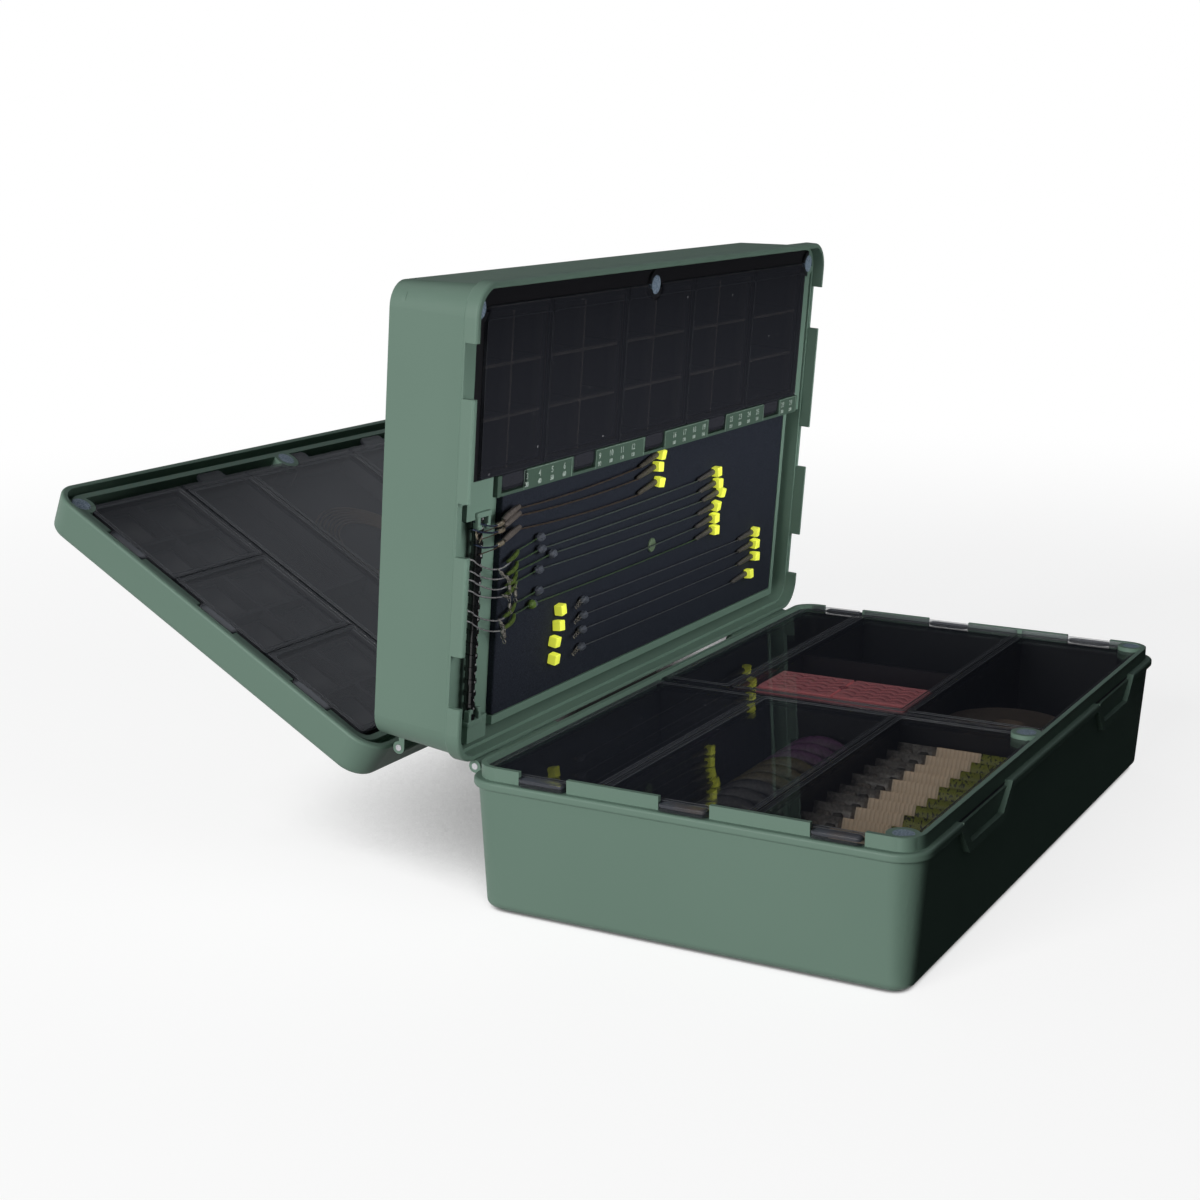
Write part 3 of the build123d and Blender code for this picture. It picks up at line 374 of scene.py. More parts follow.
# Materials
def mouldedSurface(name, colour, lighter, roughness, grain=2600, depth=0.00006, **sockets):
    # Fine spark-eroded grain over broad, faint flow marks
    s = Surface(name, colour, roughness, **sockets)
    fine = s.noise(grain, 2, 0.6)
    s.tone = s.blend(s.spread(s.noise(9, 3), 0.3, 0.7), colour, lighter)
    s.colour(s.tone)
    s.feed("Roughness", s.spread(fine, 0.3, 0.7, roughness - 0.05, roughness + 0.06))
    s.bump(fine, 0.35, depth)
    return s


def mouldedPlastic(*settings, **sockets):
    return mouldedSurface(*settings, **sockets).material


def smoked(name, colour, alpha, ripple, rippleScale, roughness=0.04):
    # Thin tinted plastic with specks of dust: each face holds back its share of the light, and the wavy skin bends
    # what it mirrors
    s = Surface(name, colour, roughness, Alpha=alpha, IOR=1.45)
    s.bump(s.noise(1, 1.5, vector=s.scaled(rippleScale)), ripple, 0.0006)
    dust = s.add("ShaderNodeTexVoronoi", {"Vector": s.place, "Scale": 95.0}).outputs["Distance"]
    s.colour(s.blend(s.spread(dust, 0.03, 0.055), (0.42, 0.43, 0.45), colour))
    return s.material


green, paleGreen = (0.135, 0.215, 0.17), (0.148, 0.232, 0.184)
greenPlastic = mouldedPlastic("greenPlastic", green, paleGreen, 0.5, Specular_IOR_Level=0.3)
darkTray = mouldedPlastic("darkTray", (0.026, 0.027, 0.031), (0.034, 0.035, 0.040), 0.42, 400, 0.00001,
                          Specular_IOR_Level=0.35)
blackPlastic = mouldedPlastic("blackPlastic", (0.01, 0.01, 0.011), (0.014, 0.014, 0.016), 0.3)
smokedFlap = smoked("smokedFlap", (0.026, 0.029, 0.039), 0.42, 0.035, (30, 30, 30), 0.02)
smokedTrayFlap = smoked("smokedTrayFlap", (0.03, 0.032, 0.04), 0.45, 0.12, (30, 90, 25))

# The middle tray is a warm grey; its walls are paler near their tops and darker deeper in, a painted shade, its frame
# is black and its ends are green. How deep a spot lies is (p - hinge) . depth
trayWalls = {"pale": (0.0075, 0.013), "frame": 0.0064, "end": 0.1545, "floor": (0.042, 0.041, 0.044),
             "wall": (0.135, 0.118, 0.105), "black": (0.012, 0.012, 0.014)}
s = middleTray = Surface("middleTray", trayWalls["floor"], 0.45, Specular_IOR_Level=0.35)
openedBy = np.radians(hinges["middleOpen"])
fromHinge = s.add("ShaderNodeVectorMath", {0: s.place, 1: (hinges["x"] * mm, 0, hinges["middleZ"] * mm)},
                  operation="SUBTRACT").outputs[0]
depthIn = s.add("ShaderNodeVectorMath", {0: fromHinge, 1: (-np.sin(openedBy), 0, np.cos(openedBy))},
                operation="DOT_PRODUCT").outputs["Value"]
cellTone = s.blend(s.spread(depthIn, *trayWalls["pale"]), trayWalls["wall"], trayWalls["floor"])
cellTone = s.blend(s.combine("GREATER_THAN", depthIn, trayWalls["frame"]), trayWalls["black"], cellTone)
trayEnd = s.combine("GREATER_THAN", s.combine("ABSOLUTE", s.axes()["Y"], 0.0), trayWalls["end"])
s.colour(s.blend(trayEnd, cellTone, green))

# The tub is green, and painted shade darkens its inside: half - inset(z) - |x| is above 0 within its leaning walls,
# and the two gaps together are more than the cut of a round corner
tubShade = {"half": (93.0, 164.25), "inset": 6.1, "lean": 3.2 / 52.7, "low": 2.6, "high": 53.6, "corner": 7.0,
             "dark": (0.040, 0.044, 0.050)}
s = tubSurface = mouldedSurface("tubPlastic", green, paleGreen, 0.5, Specular_IOR_Level=0.3)
tubAxes = s.axes()
leaning = s.combine("MULTIPLY", tubAxes["Z"], tubShade["lean"])
gaps = [s.combine("SUBTRACT", s.combine("ADD", leaning, (half - tubShade["inset"]) * mm),
                  s.combine("ABSOLUTE", tubAxes[axis], 0.0)) for axis, half in zip("XY", tubShade["half"])]
shadedInside = s.combine("GREATER_THAN", s.combine("ADD", *gaps), tubShade["corner"] * mm)
for operation, source, limit in (("GREATER_THAN", gaps[0], 0.0), ("GREATER_THAN", gaps[1], 0.0),
                                 ("GREATER_THAN", tubAxes["Z"], tubShade["low"] * mm),
                                 ("LESS_THAN", tubAxes["Z"], tubShade["high"] * mm)):
    shadedInside = s.combine("MULTIPLY", shadedInside, s.combine(operation, source, limit))
s.colour(s.blend(shadedInside, s.tone, tubShade["dark"]))

finishes = {
    "green_plastic": greenPlastic,
    "smoked_clear": smokedFlap,
    "black_plastic": blackPlastic,
}
plainSlots = {m["slot"]: m for m in frame["record"]["materials"]}
for slotName, row in plainSlots.items():
    if slotName in finishes:
        continue
    metal = "steel" in row["class"]
    finishes[slotName] = mouldedPlastic(slotName, row["base_color"][:3], row["base_color"][:3],
                                        0.3 if metal else 0.45, Metallic=1.0 if metal else 0.0)
slotOf = {part["node"]: part["material_slot"] for part in frame["record"]["subparts"]}
for nodeName, node in nodes.items():
    finish = finishes[slotOf[nodeName]]
    if "tray_flap" in nodeName:
        finish = smokedTrayFlap
    if nodeName == "lid_tray" or "divider" in nodeName or nodeName == "base_centre_wall":
        finish = darkTray
    finish = {"middle_tray": middleTray.material, "base_tub": tubSurface.material}.get(nodeName, finish)
    node.data.materials.clear()
    node.data.materials.append(finish)
print("materials are on the frame's nodes")

# New pieces are skins over rings of points, worked out shut in millimetres like the rest
def around(count):
    # even steps of a full turn
    return np.linspace(0, 2 * np.pi, count, endpoint=False)


def unit(vectors):
    return vectors / np.linalg.norm(vectors, axis=-1, keepdims=True)


def gridOf(*axes):
    # points from their x, y and z, each given as it varies
    return np.stack(np.broadcast_arrays(*axes), -1)


def curved(points, count):
    # a Catmull-Rom line through the points, in even steps of its parameter
    p = np.array(points, float)
    p = np.vstack([2 * p[0] - p[1], p, 2 * p[-1] - p[-2]])
    at = np.linspace(0, len(p) - 3 - 1e-6, count)
    i = at.astype(int)
    t = (at - i)[:, None]
    a, b, c, d = p[i], p[i + 1], p[i + 2], p[i + 3]
    return 0.5 * (2 * b + (c - a) * t + (2 * a - 5 * b + 4 * c - d) * t ** 2 + (3 * b - a - 3 * c + d) * t ** 3)


def rings(path, radius, sides, reference=(1, 0, 0), ridge=0.0, ridges=8, twist=0.0):
    # c + r (n cos a + m sin a), where r may swell with the angle by ridge cos(k a + twist s)
    along = np.gradient(path, axis=0)
    n = unit(np.cross(along, reference))
    m = unit(np.cross(along, n))
    a = around(sides)
    s = np.linspace(0, 1, len(path))[:, None]
    r = np.broadcast_to(np.asarray(radius, float), (len(path),))[:, None]
    r = r * (1 + ridge * np.cos(ridges * a + twist * s))
    return path[:, None] + n[:, None] * (r * np.cos(a))[..., None] + m[:, None] * (r * np.sin(a))[..., None]


class Piece:
    # Gathers skins into one mesh; each skin carries a shade from 0 to 1 that its material may read
    def __init__(self, name, storey="base"):
        self.name, self.storey = name, storey
        self.points, self.faces, self.shades, self.count = [], [], [], 0

    def mesh(self, points, faces, shade):
        self.points.append(points)
        self.faces += [[v + self.count for v in face] for face in faces]
        self.shades.append(np.broadcast_to(np.asarray(shade, float), (len(points),)))
        self.count += len(points)

    def skin(self, grid, shade=0.0, looped=False):
        # four-sided faces between rings; the first and last ring end in a point unless the rings are looped
        u, v = grid.shape[:2]
        i = np.arange(u if looped else u - 1)[:, None]
        j = np.arange(v)[None]
        corners = [i * v + j, i * v + (j + 1) % v, (i + 1) % u * v + (j + 1) % v, (i + 1) % u * v + j]
        quads = gridOf(*corners).reshape(-1, 4)
        points = grid.reshape(-1, 3)
        a, b, c, d = (points[quads[:, k]] - points.mean(0) for k in range(4))
        volume = (np.einsum("ij,ij->i", a, np.cross(b, c)) + np.einsum("ij,ij->i", a, np.cross(c, d))).sum()
        j, after = j[0], (j[0] + 1) % v
        first = np.stack([np.full(v, u * v), after, j], -1)
        last = np.stack([np.full(v, u * v + 1), (u - 1) * v + j, (u - 1) * v + after], -1)
        if volume < 0:
            quads, first, last = quads[:, ::-1], first[:, ::-1], last[:, ::-1]
        faces = quads.tolist()
        if not looped:
            points = np.vstack([points, grid[0].mean(0), grid[-1].mean(0)])
            faces += first.tolist() + last.tolist()
        if np.ndim(shade) == 2:
            shade = np.asarray(shade, float).reshape(-1)
            if not looped:
                shade = np.append(shade, [shade[0], shade[-1]])
        self.mesh(points, faces, shade)

    def finish(self, material, replaced, slot, smooth=True, body=None):
        mesh = bpy.data.meshes.new(self.name)
        mesh.from_pydata(opened(np.vstack(self.points), self.storey).tolist(), [], self.faces)
        mesh.attributes.new("shade", "FLOAT", "POINT").data.foreach_set("value", np.concatenate(self.shades))
        mesh.polygons.foreach_set("use_smooth", [smooth] * len(mesh.polygons))
        mesh.materials.append(material)
        made = bpy.data.objects.new(self.name, mesh)
        scene.collection.objects.link(made)
        body = body or self.storey
        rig.ride(made, body)
        for nodeName in replaced:
            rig.replaces(made, nodeName)
        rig.slot(made, slot)


def pillow(centre, half, turn=(0.0, 0.0, 0.0), power=0.28, rows=14, columns=28):
    # a rounded block: x = a c(u) c(v), y = b c(u) s(v), z = c s(u), with c and s raised to a small power
    u = np.linspace(-np.pi / 2, np.pi / 2, rows + 2)[1:-1, None]
    v = around(columns)[None] + 0.01
    shaped = lambda w: np.sign(w) * np.abs(w) ** power
    a, b, c = half
    grid = gridOf(a * shaped(np.cos(u)) * shaped(np.cos(v)), b * shaped(np.cos(u)) * shaped(np.sin(v)),
                  c * shaped(np.sin(u)))
    for axis, degrees in enumerate(turn):
        t = np.radians(degrees)
        p, q = [(1, 2), (2, 0), (0, 1)][axis]
        grid[..., p], grid[..., q] = (grid[..., p] * np.cos(t) - grid[..., q] * np.sin(t),
                                      grid[..., p] * np.sin(t) + grid[..., q] * np.cos(t))
    return grid + np.array(centre)


def ring(centre, radius, wire, first, second, count=20, sides=6):
    # a small wire ring in the plane of e and f: c + (R + w cos b)(e cos a + f sin a) + w sin b (e x f)
    a, b = around(count)[:, None], around(sides)[None, :, None]
    e = unit(np.array(first, float))
    f = unit(second - e * (e @ second))
    out = np.cos(a) * e + np.sin(a) * f
    return np.array(centre) + (radius + wire * np.cos(b)) * out[:, None] + wire * np.sin(b) * np.cross(e, f)


rng = np.random.default_rng(7)

# Rigs on the foam of the middle storey: X is up, Y to the far side and a smaller Z nearer to the eye
rigs = {
    "lineZ": 60.9, "lineRadius": 0.27, "beadRadius": 1.62, "beadHalf": 3.0, "sleeve": 18.0, "wire": 0.32,
    "pinHalf": (2.2, 2.1, 1.9), "pinZ": 60.7, "sleeveZ": 61.9, "barY": -145.25, "barFront": 58.9, "hookEnd": -117.0,
    "long": [(6.4, 6.9, -2.2), (1.1, 4.9, -5.1), (-6.1, 7.1, -10.6)],
    "beaded": [(-10.1, 67.9, -13.6, -97.8, -16.0), (-15.9, 70.1, -18.7, -96.5, -20.6),
               (-20.9, 74.0, -22.3, -86.9, -24.6), (-26.9, 69.9, -27.1, -97.6, -28.8),
               (-32.6, 68.9, -36.0, -96.9, -37.6), (-38.5, 69.9, -40.8, -101.2, -42.2)],
    "pinned": [(-47.8, 119.0, -47.9, -77.4), (-53.9, 119.7, -54.6, -78.1), (-60.5, 121.0, -61.0, -80.7),
               (-68.5, 115.5, -68.5, -80.6)],
    "pinnedBead": -57.0,
}
hooks = {
    "long": [[(0.1, -147.1), (-1.8, -139.6), (-1.9, -132.7), (-0.8, -128.5)],
             [(-2.7, -148.4), (-4.4, -139.3), (-4.7, -131.9), (-3.5, -127.7)],
             [(-9.3, -145.6), (-10.2, -138.3), (-10.0, -131.9), (-9.3, -127.1)]],
    "round": [[(-13.6, -151.2), (-15.8, -147.5), (-18.8, -139.6), (-20.2, -132.0), (-20.0, -125.5), (-18.2, -118.9)],
              [(-18.2, -151.0), (-20.3, -146.8), (-23.1, -138.1), (-24.5, -130.5), (-24.6, -124.0), (-23.6, -118.7)],
              [(-21.6, -151.0), (-24.0, -146.5), (-26.9, -138.8), (-28.6, -131.2), (-28.8, -124.6), (-28.2, -119.4)],
              [(-25.9, -151.0), (-27.9, -147.2), (-30.2, -139.6), (-32.0, -129.8), (-32.2, -124.3), (-31.6, -119.4)],
              [(-33.9, -151.0), (-36.1, -147.5), (-39.2, -139.8), (-41.3, -131.0), (-41.4, -124.5), (-40.6, -119.9)],
              [(-38.0, -151.0), (-40.4, -147.1), (-43.6, -139.4), (-45.9, -129.5), (-46.2, -122.9), (-45.4, -119.1)]],
}
pinPiece, linePiece = Piece("rigPins", "middle"), Piece("rigLines", "middle")
beadPiece, sleevePiece = Piece("rigBeads", "middle"), Piece("rigSleeves", "middle")
hookPiece = Piece("rigHooks", "middle")


def linePath(start, end, sag=0.0, count=24):
    t = np.linspace(0, 1, count)[:, None]
    path = np.array(start) * (1 - t) + np.array(end) * t
    path[:, :1] -= 4 * sag * t * (1 - t)
    return path


def addLine(start, end, thick, shade, sag=0.0, count=24, sides=6, **ridges):
    # a line between two spots at the height of the lines, or a little behind it
    (x0, y0, *back), (x1, y1) = start, end
    z0 = rigs["lineZ"] - (back[0] if back else 0)
    path = linePath((x0, y0, z0), (x1, y1, rigs["lineZ"]), sag, count)
    linePiece.skin(rings(path, rigs["lineRadius"] * thick, sides, **ridges), shade)


def addPin(x, y):
    turn = tuple(rng.uniform(-9, 9, 2)) + (rng.uniform(-9, 9),)
    pinPiece.skin(pillow((0, 0, 0), rigs["pinHalf"], turn, 0.16) + np.array((x, y, rigs["pinZ"])))


def addSleeve(x, y, dx, shade):
    # a taper from the pin down to the line: r = 1.42 - 0.36 t with a step halfway and a thin end
    t = np.linspace(0, 1, 22)
    path = linePath((x, y - 2.2, rigs["sleeveZ"]), (x + dx, y - 1.2 - rigs["sleeve"], rigs["lineZ"] + 0.2), 0, 22)
    radius = 1.42 - 0.36 * t - 0.08 * (t > 0.5) - 0.25 * (t > 0.95) + 0.04 * np.sin(14 * t)
    sleevePiece.skin(rings(path, radius, 12), shade)


def addBead(x, y, slope, shade=0.0):
    # an oval with twisted ribs: r = R sqrt(1 - |s|^2.4)
    s = np.linspace(-0.97, 0.97, 22)
    half = s * rigs["beadHalf"]
    path = np.stack([x + slope * half, y + half, np.full(22, rigs["lineZ"] - 0.05)], -1)
    radius = rigs["beadRadius"] * np.sqrt(1 - np.abs(s) ** 2.4) + 0.12
    shades = np.broadcast_to((shade * (s < 0.1))[:, None], (22, 32))
    beadPiece.skin(rings(path, radius, 32, ridge=0.09, ridges=8, twist=5.0), shades)


for pinX, pinY, hookX in rigs["long"]:
    addPin(pinX, pinY)
    slope = (pinX - hookX) / (pinY + 116)
    addSleeve(pinX, pinY, -slope * rigs["sleeve"] - 1.9, 0.25)
    addLine((hookX + 3.3, rigs["hookEnd"]), (pinX - 3.0, pinY - 17), 1.15, 1.0, 1.2, 60, 8, ridge=0.16, ridges=2,
            twist=260)
for pinX, pinY, beadX, beadY, tubeX in rigs["beaded"]:
    addPin(pinX, pinY)
    slope = (pinX - beadX) / (pinY - beadY)
    olive = beadX < -40
    addSleeve(pinX, pinY, -slope * rigs["sleeve"] - 1.2, 0.0)
    addBead(beadX, beadY, slope, 1.0 if olive else 0.0)
    addLine((beadX, beadY), (pinX - 1.2 - 17 * slope, pinY - 17), 1, 0.5 if olive else 0.25, 0.5)
    addLine((tubeX, rigs["hookEnd"], 0.1), (beadX, beadY - 2), 1.1, 0.5, 0.2, 12)
for pinX, pinY, nearX, nearY in rigs["pinned"]:
    addPin(pinX, pinY)
    addPin(nearX, nearY)
    slope = (pinX - nearX) / (pinY - nearY)
    beadX, beadY = nearX + slope * (rigs["pinnedBead"] - nearY), rigs["pinnedBead"]
    addSleeve(pinX, pinY, -slope * rigs["sleeve"] - 0.9, 0.0)
    addBead(beadX, beadY, slope)
    addLine((beadX, beadY), (pinX - 0.9 - 17 * slope, pinY - 17), 0.85, 0.0, 0.3)
    for k in range(4):
        spot = (beadX - 0.6 * k, beadY - 3.2 - 1.35 * k, rigs["lineZ"] - 0.3)
        hookPiece.skin(ring(spot, 0.75, 0.17, (0.3, 1, 0.2 * k), (1, 0, 0.8), 12, 5), 0.8, looped=True)


def bendRound(x, y):
    # the hook's bend: a half circle behind the bar that ends in a point
    a = np.linspace(0, 1.05 * np.pi, 12)[:, None]
    back = np.hstack([x + 1.2 * np.sin(a), y - 2.6 * np.sin(a), 60.85 - 1.95 * np.cos(a)])
    return back[::-1]


def shankHeight(y):
    # nearest to the eye over the bar and lower down at the foam
    return np.interp(y, [-152, rigs["barY"], -134, -118], [59.3, rigs["barFront"], 59.0, 60.3])


def hookWay(row, count, back, wire):
    # from the bend behind the bar along the shank; the wire grows from its point to full thickness
    way = curved([(x, y, 0) for x, y in row], count)
    way[:, 2] = shankHeight(way[:, 1]) - back
    way = np.vstack([bendRound(way[0, 0], way[0, 1]), way[1:]])
    return way, rigs["wire"] * wire * np.interp(np.arange(len(way)), [0, 5, 100], [0.15, 1, 1])


for row in hooks["long"]:
    way, radius = hookWay(row, 26, 0.15, 1.15)
    hookPiece.skin(rings(way, radius, 8), 0.5)
    hookPiece.skin(rings(curved(way[24:31], 24), 0.95, 12, ridge=0.06, ridges=1, twist=80), 0.25)
    end = way[-1]
    sleeve = curved([end + (0.1, -2.2, -0.1), end + (1.6, 3.0, 0.1), end + (3.3, 10.5, 0.5)], 24)
    t = np.linspace(0, 1, 24)
    radius = 0.85 + 0.55 * np.sin(np.pi * np.clip(t * 0.9 + 0.08, 0, 1)) + 0.1 * (t > 0.7)
    sleevePiece.skin(rings(sleeve, radius, 12), 0.6)
    tail = curved([end + (0.2, -1.5, -0.9), end + (-1.8, -9.0, -0.6), end + (-2.6, -20, 0.2)], 24)
    linePiece.skin(rings(tail, 0.24, 6, ridge=0.2, ridges=2, twist=90), 1.0)
for row, (*_, tubeX) in zip(hooks["round"], rigs["beaded"]):
    way, radius = hookWay(row, 34, 0, 1)
    hookPiece.skin(rings(way, radius, 8), 0.0)
    end = way[-1]
    tube = curved([end + (-0.6, -5.5, -0.1), end + (0.3, -1.5, -0.2), end + (1.6, 1.6, 0),
                   (tubeX, -115.6, rigs["lineZ"] - 0.1)], 22)
    linePiece.skin(rings(tube, 0.72 + 0.3 * np.sin(np.pi * np.linspace(0, 1, 22)), 10), 0.75)
for spot, tilt in (((-3.7, -149.8, 59.4), 0.1), ((-5.8, -146.6, 59.4), 1.3)):
    hookPiece.skin(ring(spot, 1.7, 0.26, (1, tilt, 0.3), (0, 1, 0.5)), 0.25, looped=True)
# small swivels hang together from the hooks: a barrel between two rings
swivelZ = 58.7, 58.9
swivels = [(-20.4, -133.0, -24.0, -128.0), (-24.2, -127.5, -26.4, -123.6), (-26.8, -124.8, -31.6, -123.4),
           (-29.6, -119.6, -35.4, -118.6), (-31.6, -128.2, -32.9, -124.6), (-34.0, -123.8, -39.6, -122.6),
           (-41.4, -130.4, -43.6, -128.3), (-44.4, -128.3, -48.8, -127.2), (-45.6, -126.6, -50.9, -125.6)]
for x0, y0, x1, y1 in swivels:
    start, end = np.array((x0, y0, swivelZ[0])), np.array((x1, y1, swivelZ[1]))
    t = np.linspace(0.26, 0.74, 12)[:, None]
    barrel = start * (1 - t) + end * t
    swell = 0.42 + 0.38 * np.sin(np.pi * np.linspace(0, 1, 12)) ** 0.5
    hookPiece.skin(rings(barrel, swell, 10, (0, 0, 1)), 0.8)
    along = unit(end - start)
    for spot, lean in ((start, 0.35), (end, -0.6)):
        hookPiece.skin(ring(spot, 0.95, 0.2, along, (lean, 0.4, 1), 14, 6), 0.8, looped=True)

# Studs along the hook bar, and a clip that holds it at each end
studs = {"x": (-74.0, 2.0), "count": 22, "y": -145.7, "z": 59.42, "half": (0.5, 0.42, 0.22)}
studPiece = Piece("barStuds", "middle")
for x in np.linspace(*studs["x"], studs["count"]):
    studPiece.skin(pillow((x, studs["y"], studs["z"]), studs["half"], power=0.7, rows=6, columns=12))
clips = {"topX": 1.6, "footX": -77.4, "y": -145.25, "z": 60.1}
clipPiece = Piece("barClips", "middle")
for x, way in ((clips["topX"], 1), (clips["footX"], -1)):
    for side in (-1, 1):
        arm, toe = (x - 0.6 * way, clips["y"] + side * 3.7), (x - 2.6 * way, clips["y"] + side * 3.1)
        clipPiece.skin(pillow((*arm, clips["z"]), (2.6, 0.95, 1.3), power=0.3))
        clipPiece.skin(pillow((*toe, clips["z"] - 0.7), (0.9, 1.3, 0.8), power=0.35))
    clipPiece.skin(pillow((x + 2.3 * way, clips["y"], clips["z"]), (1.1, 5.2, 1.5), power=0.25))

# Rig finishes pick their colour by shade
# the pins give off a little light of their own, painted light that brightens them
pinSurface = Surface("yellowPin", (0.80, 0.85, 0.09), 0.35, Emission_Color=(0.80, 0.86, 0.07, 1),
                     Emission_Strength=0.42)
pinSurface.bump(pinSurface.noise(900, 2), 0.12, 0.00008)


def byShade(name, stops, roughness, **sockets):
    s = Surface(name, stops[0][1], roughness, **sockets)
    shade = s.add("ShaderNodeAttribute", attribute_name="shade").outputs["Fac"]
    ramp = s.add("ShaderNodeValToRGB", {"Fac": shade})
    ramp.color_ramp.interpolation = "CONSTANT"
    while len(ramp.color_ramp.elements) < len(stops):
        ramp.color_ramp.elements.new(1)
    for element, (position, colour) in zip(ramp.color_ramp.elements, stops):
        element.position = position
        element.color = (*colour, 1)
    s.colour(s.blend(s.spread(s.noise(700, 3), 0.35, 0.65, 0.55, 1.0), (0, 0, 0), ramp.outputs[0]))
    s.bump(s.noise(1600, 2), 0.3, 0.00006)
    return s.material


hookSteel = byShade("hookSteel", [(0, (0.55, 0.55, 0.56)), (0.2, (0.42, 0.36, 0.27)), (0.4, (0.07, 0.09, 0.15)),
                                  (0.7, (0.45, 0.42, 0.38))], 0.22, Metallic=0.6)
rigLine = byShade("rigLine", [(0, (0.085, 0.092, 0.10)), (0.2, (0.075, 0.095, 0.085)), (0.4, (0.055, 0.095, 0.045)),
                              (0.6, (0.075, 0.115, 0.022)), (0.9, (0.062, 0.045, 0.032))], 0.35)
greyBead = byShade("greyBead", [(0, (0.075, 0.085, 0.105)), (0.5, (0.10, 0.17, 0.03))], 0.5)
darkSleeve = byShade("darkSleeve", [(0, (0.085, 0.08, 0.073)), (0.2, (0.085, 0.077, 0.062)),
                                    (0.5, (0.11, 0.095, 0.085))], 0.45)
pinPiece.finish(pinSurface.material, ["rig_pins"], "yellow_pin")
linePiece.finish(rigLine, ["rig_lines"], "rig_line")
beadPiece.finish(greyBead, ["rig_beads"], "grey_bead")
sleevePiece.finish(darkSleeve, ["rig_sleeves"], "black_plastic")
hookPiece.finish(hookSteel, ["rig_hooks"], "steel_wire")
studPiece.finish(hookSteel, (), "steel_wire")
clipPiece.finish(greenPlastic, (), "green_plastic")
print("rigs are on the board")

# What lies in the base: leaning packets, leader spools, a hook case and a reel
packets = {"count": 10, "left": 28.6, "firstY": -150.5, "pitch": 13.0, "lean": 22.0, "foot": 4.9, "height": 48.0,
           "widths": (17.4, 19.2, 14.2), "ribs": 11}
tilt = np.radians(packets["lean"])


def leaned(grid, index):
    # y' = y cos t + z sin t and z' = z cos t - y sin t, then along to the packet's own place
    x, y, z = grid[..., 0], grid[..., 1], grid[..., 2]
    return np.stack([packets["left"] + x, packets["firstY"] + index * packets["pitch"] + y * np.cos(tilt)
                     + z * np.sin(tilt), packets["foot"] - y * np.sin(tilt) + z * np.cos(tilt)], -1)


def plate(x0, x1, front, back, heights, sway=0.0):
    # rings up a thin plate: its front follows a row of depths and its back is flat
    x = np.linspace(x0, x1, len(front))
    loop = np.vstack([np.stack([x, front], -1), [(x1, back), (x0, back)]])
    z = np.array(heights, float)[:, None]
    bow = sway * np.sin(np.pi * z / packets["height"])
    return gridOf(loop[:, 0], loop[:, 1] + bow, z)


def slab(x, y, top, under):
    # a surface over a flat underside
    upper, lower = gridOf(x, y, top), gridOf(x, y[:, ::-1], under)
    return np.concatenate([upper, lower[:, [0, -1]]], 1)


clearPiece, tanPiece, labelPiece = Piece("packetsClear"), Piece("packetsTan"), Piece("packetsLabel")
first, second, third = np.cumsum((0,) + packets["widths"])[:3]
# what bulges in the clear pouch: centre, half size and shade
bulges = [((5.0, 1.1, 33.0), (3.6, 1.0, 11.5), 0.5), ((12.3, 1.0, 29.0), (2.6, 1.1, 15.5), 1.0),
          ((8.6, 1.3, 11.0), (6.3, 0.8, 7.5), 0.5)]
for index in range(packets["count"]):
    sway = rng.uniform(-0.35, 0.35)
    bottom = rng.uniform(0.2, 0.8)
    heights = np.linspace(bottom, packets["height"] - rng.uniform(0.2, 1.4), 18)
    clearPiece.skin(leaned(plate(first + 0.3, second - 0.2, np.full(8, 1.5), 2.2, heights, sway), index), 0.0)
    for place, half, shade in bulges:
        swell = pillow((0, 0, 0), half, (0, rng.uniform(-8, 8), 0), 0.45, 10, 20) + np.array(place)
        clearPiece.skin(leaned(swell, index), shade)
    t = np.linspace(0, 2 * np.pi * packets["ribs"], packets["ribs"] * 8 + 1)
    front = 0.55 + 0.5 * np.abs(np.cos(t / 2)) ** 0.7
    tanPiece.skin(leaned(plate(second, third - 0.15, front, 2.2, heights, sway), index))
    labels = plate(third + 0.1, third + packets["widths"][2] - 0.2, np.full(24, 0.7), 2.1, heights, sway)
    labelPiece.skin(leaned(labels, index))
packetClear = byShade("packetClear", [(0, (0.42, 0.39, 0.36)), (0.3, (0.62, 0.56, 0.50)),
                                      (0.7, (0.16, 0.145, 0.13))], 0.25)
# the tan card gives off a little light of its own, painted light that brightens it
packetTan = mouldedPlastic("packetTan", (0.90, 0.74, 0.56), (0.98, 0.84, 0.66), 0.55, 500, 0.0001,
                           Emission_Color=(0.90, 0.74, 0.56, 1), Emission_Strength=0.15)
s = Surface("packetLabel", (0.42, 0.45, 0.06), 0.4)
marks = s.spread(s.noise(1, 1.2, 0.4, s.scaled((1000, 700, 800))), 0.56, 0.6)
s.colour(s.blend(marks, (0.46, 0.51, 0.075), (0.06, 0.066, 0.03)))
clearPiece.finish(packetClear, ["packets_clear"], "clear_packet")
tanPiece.finish(packetTan, ["packets_tan"], "tan_card", smooth=False)
labelPiece.finish(s.material, ["packets_label"], "olive_label")

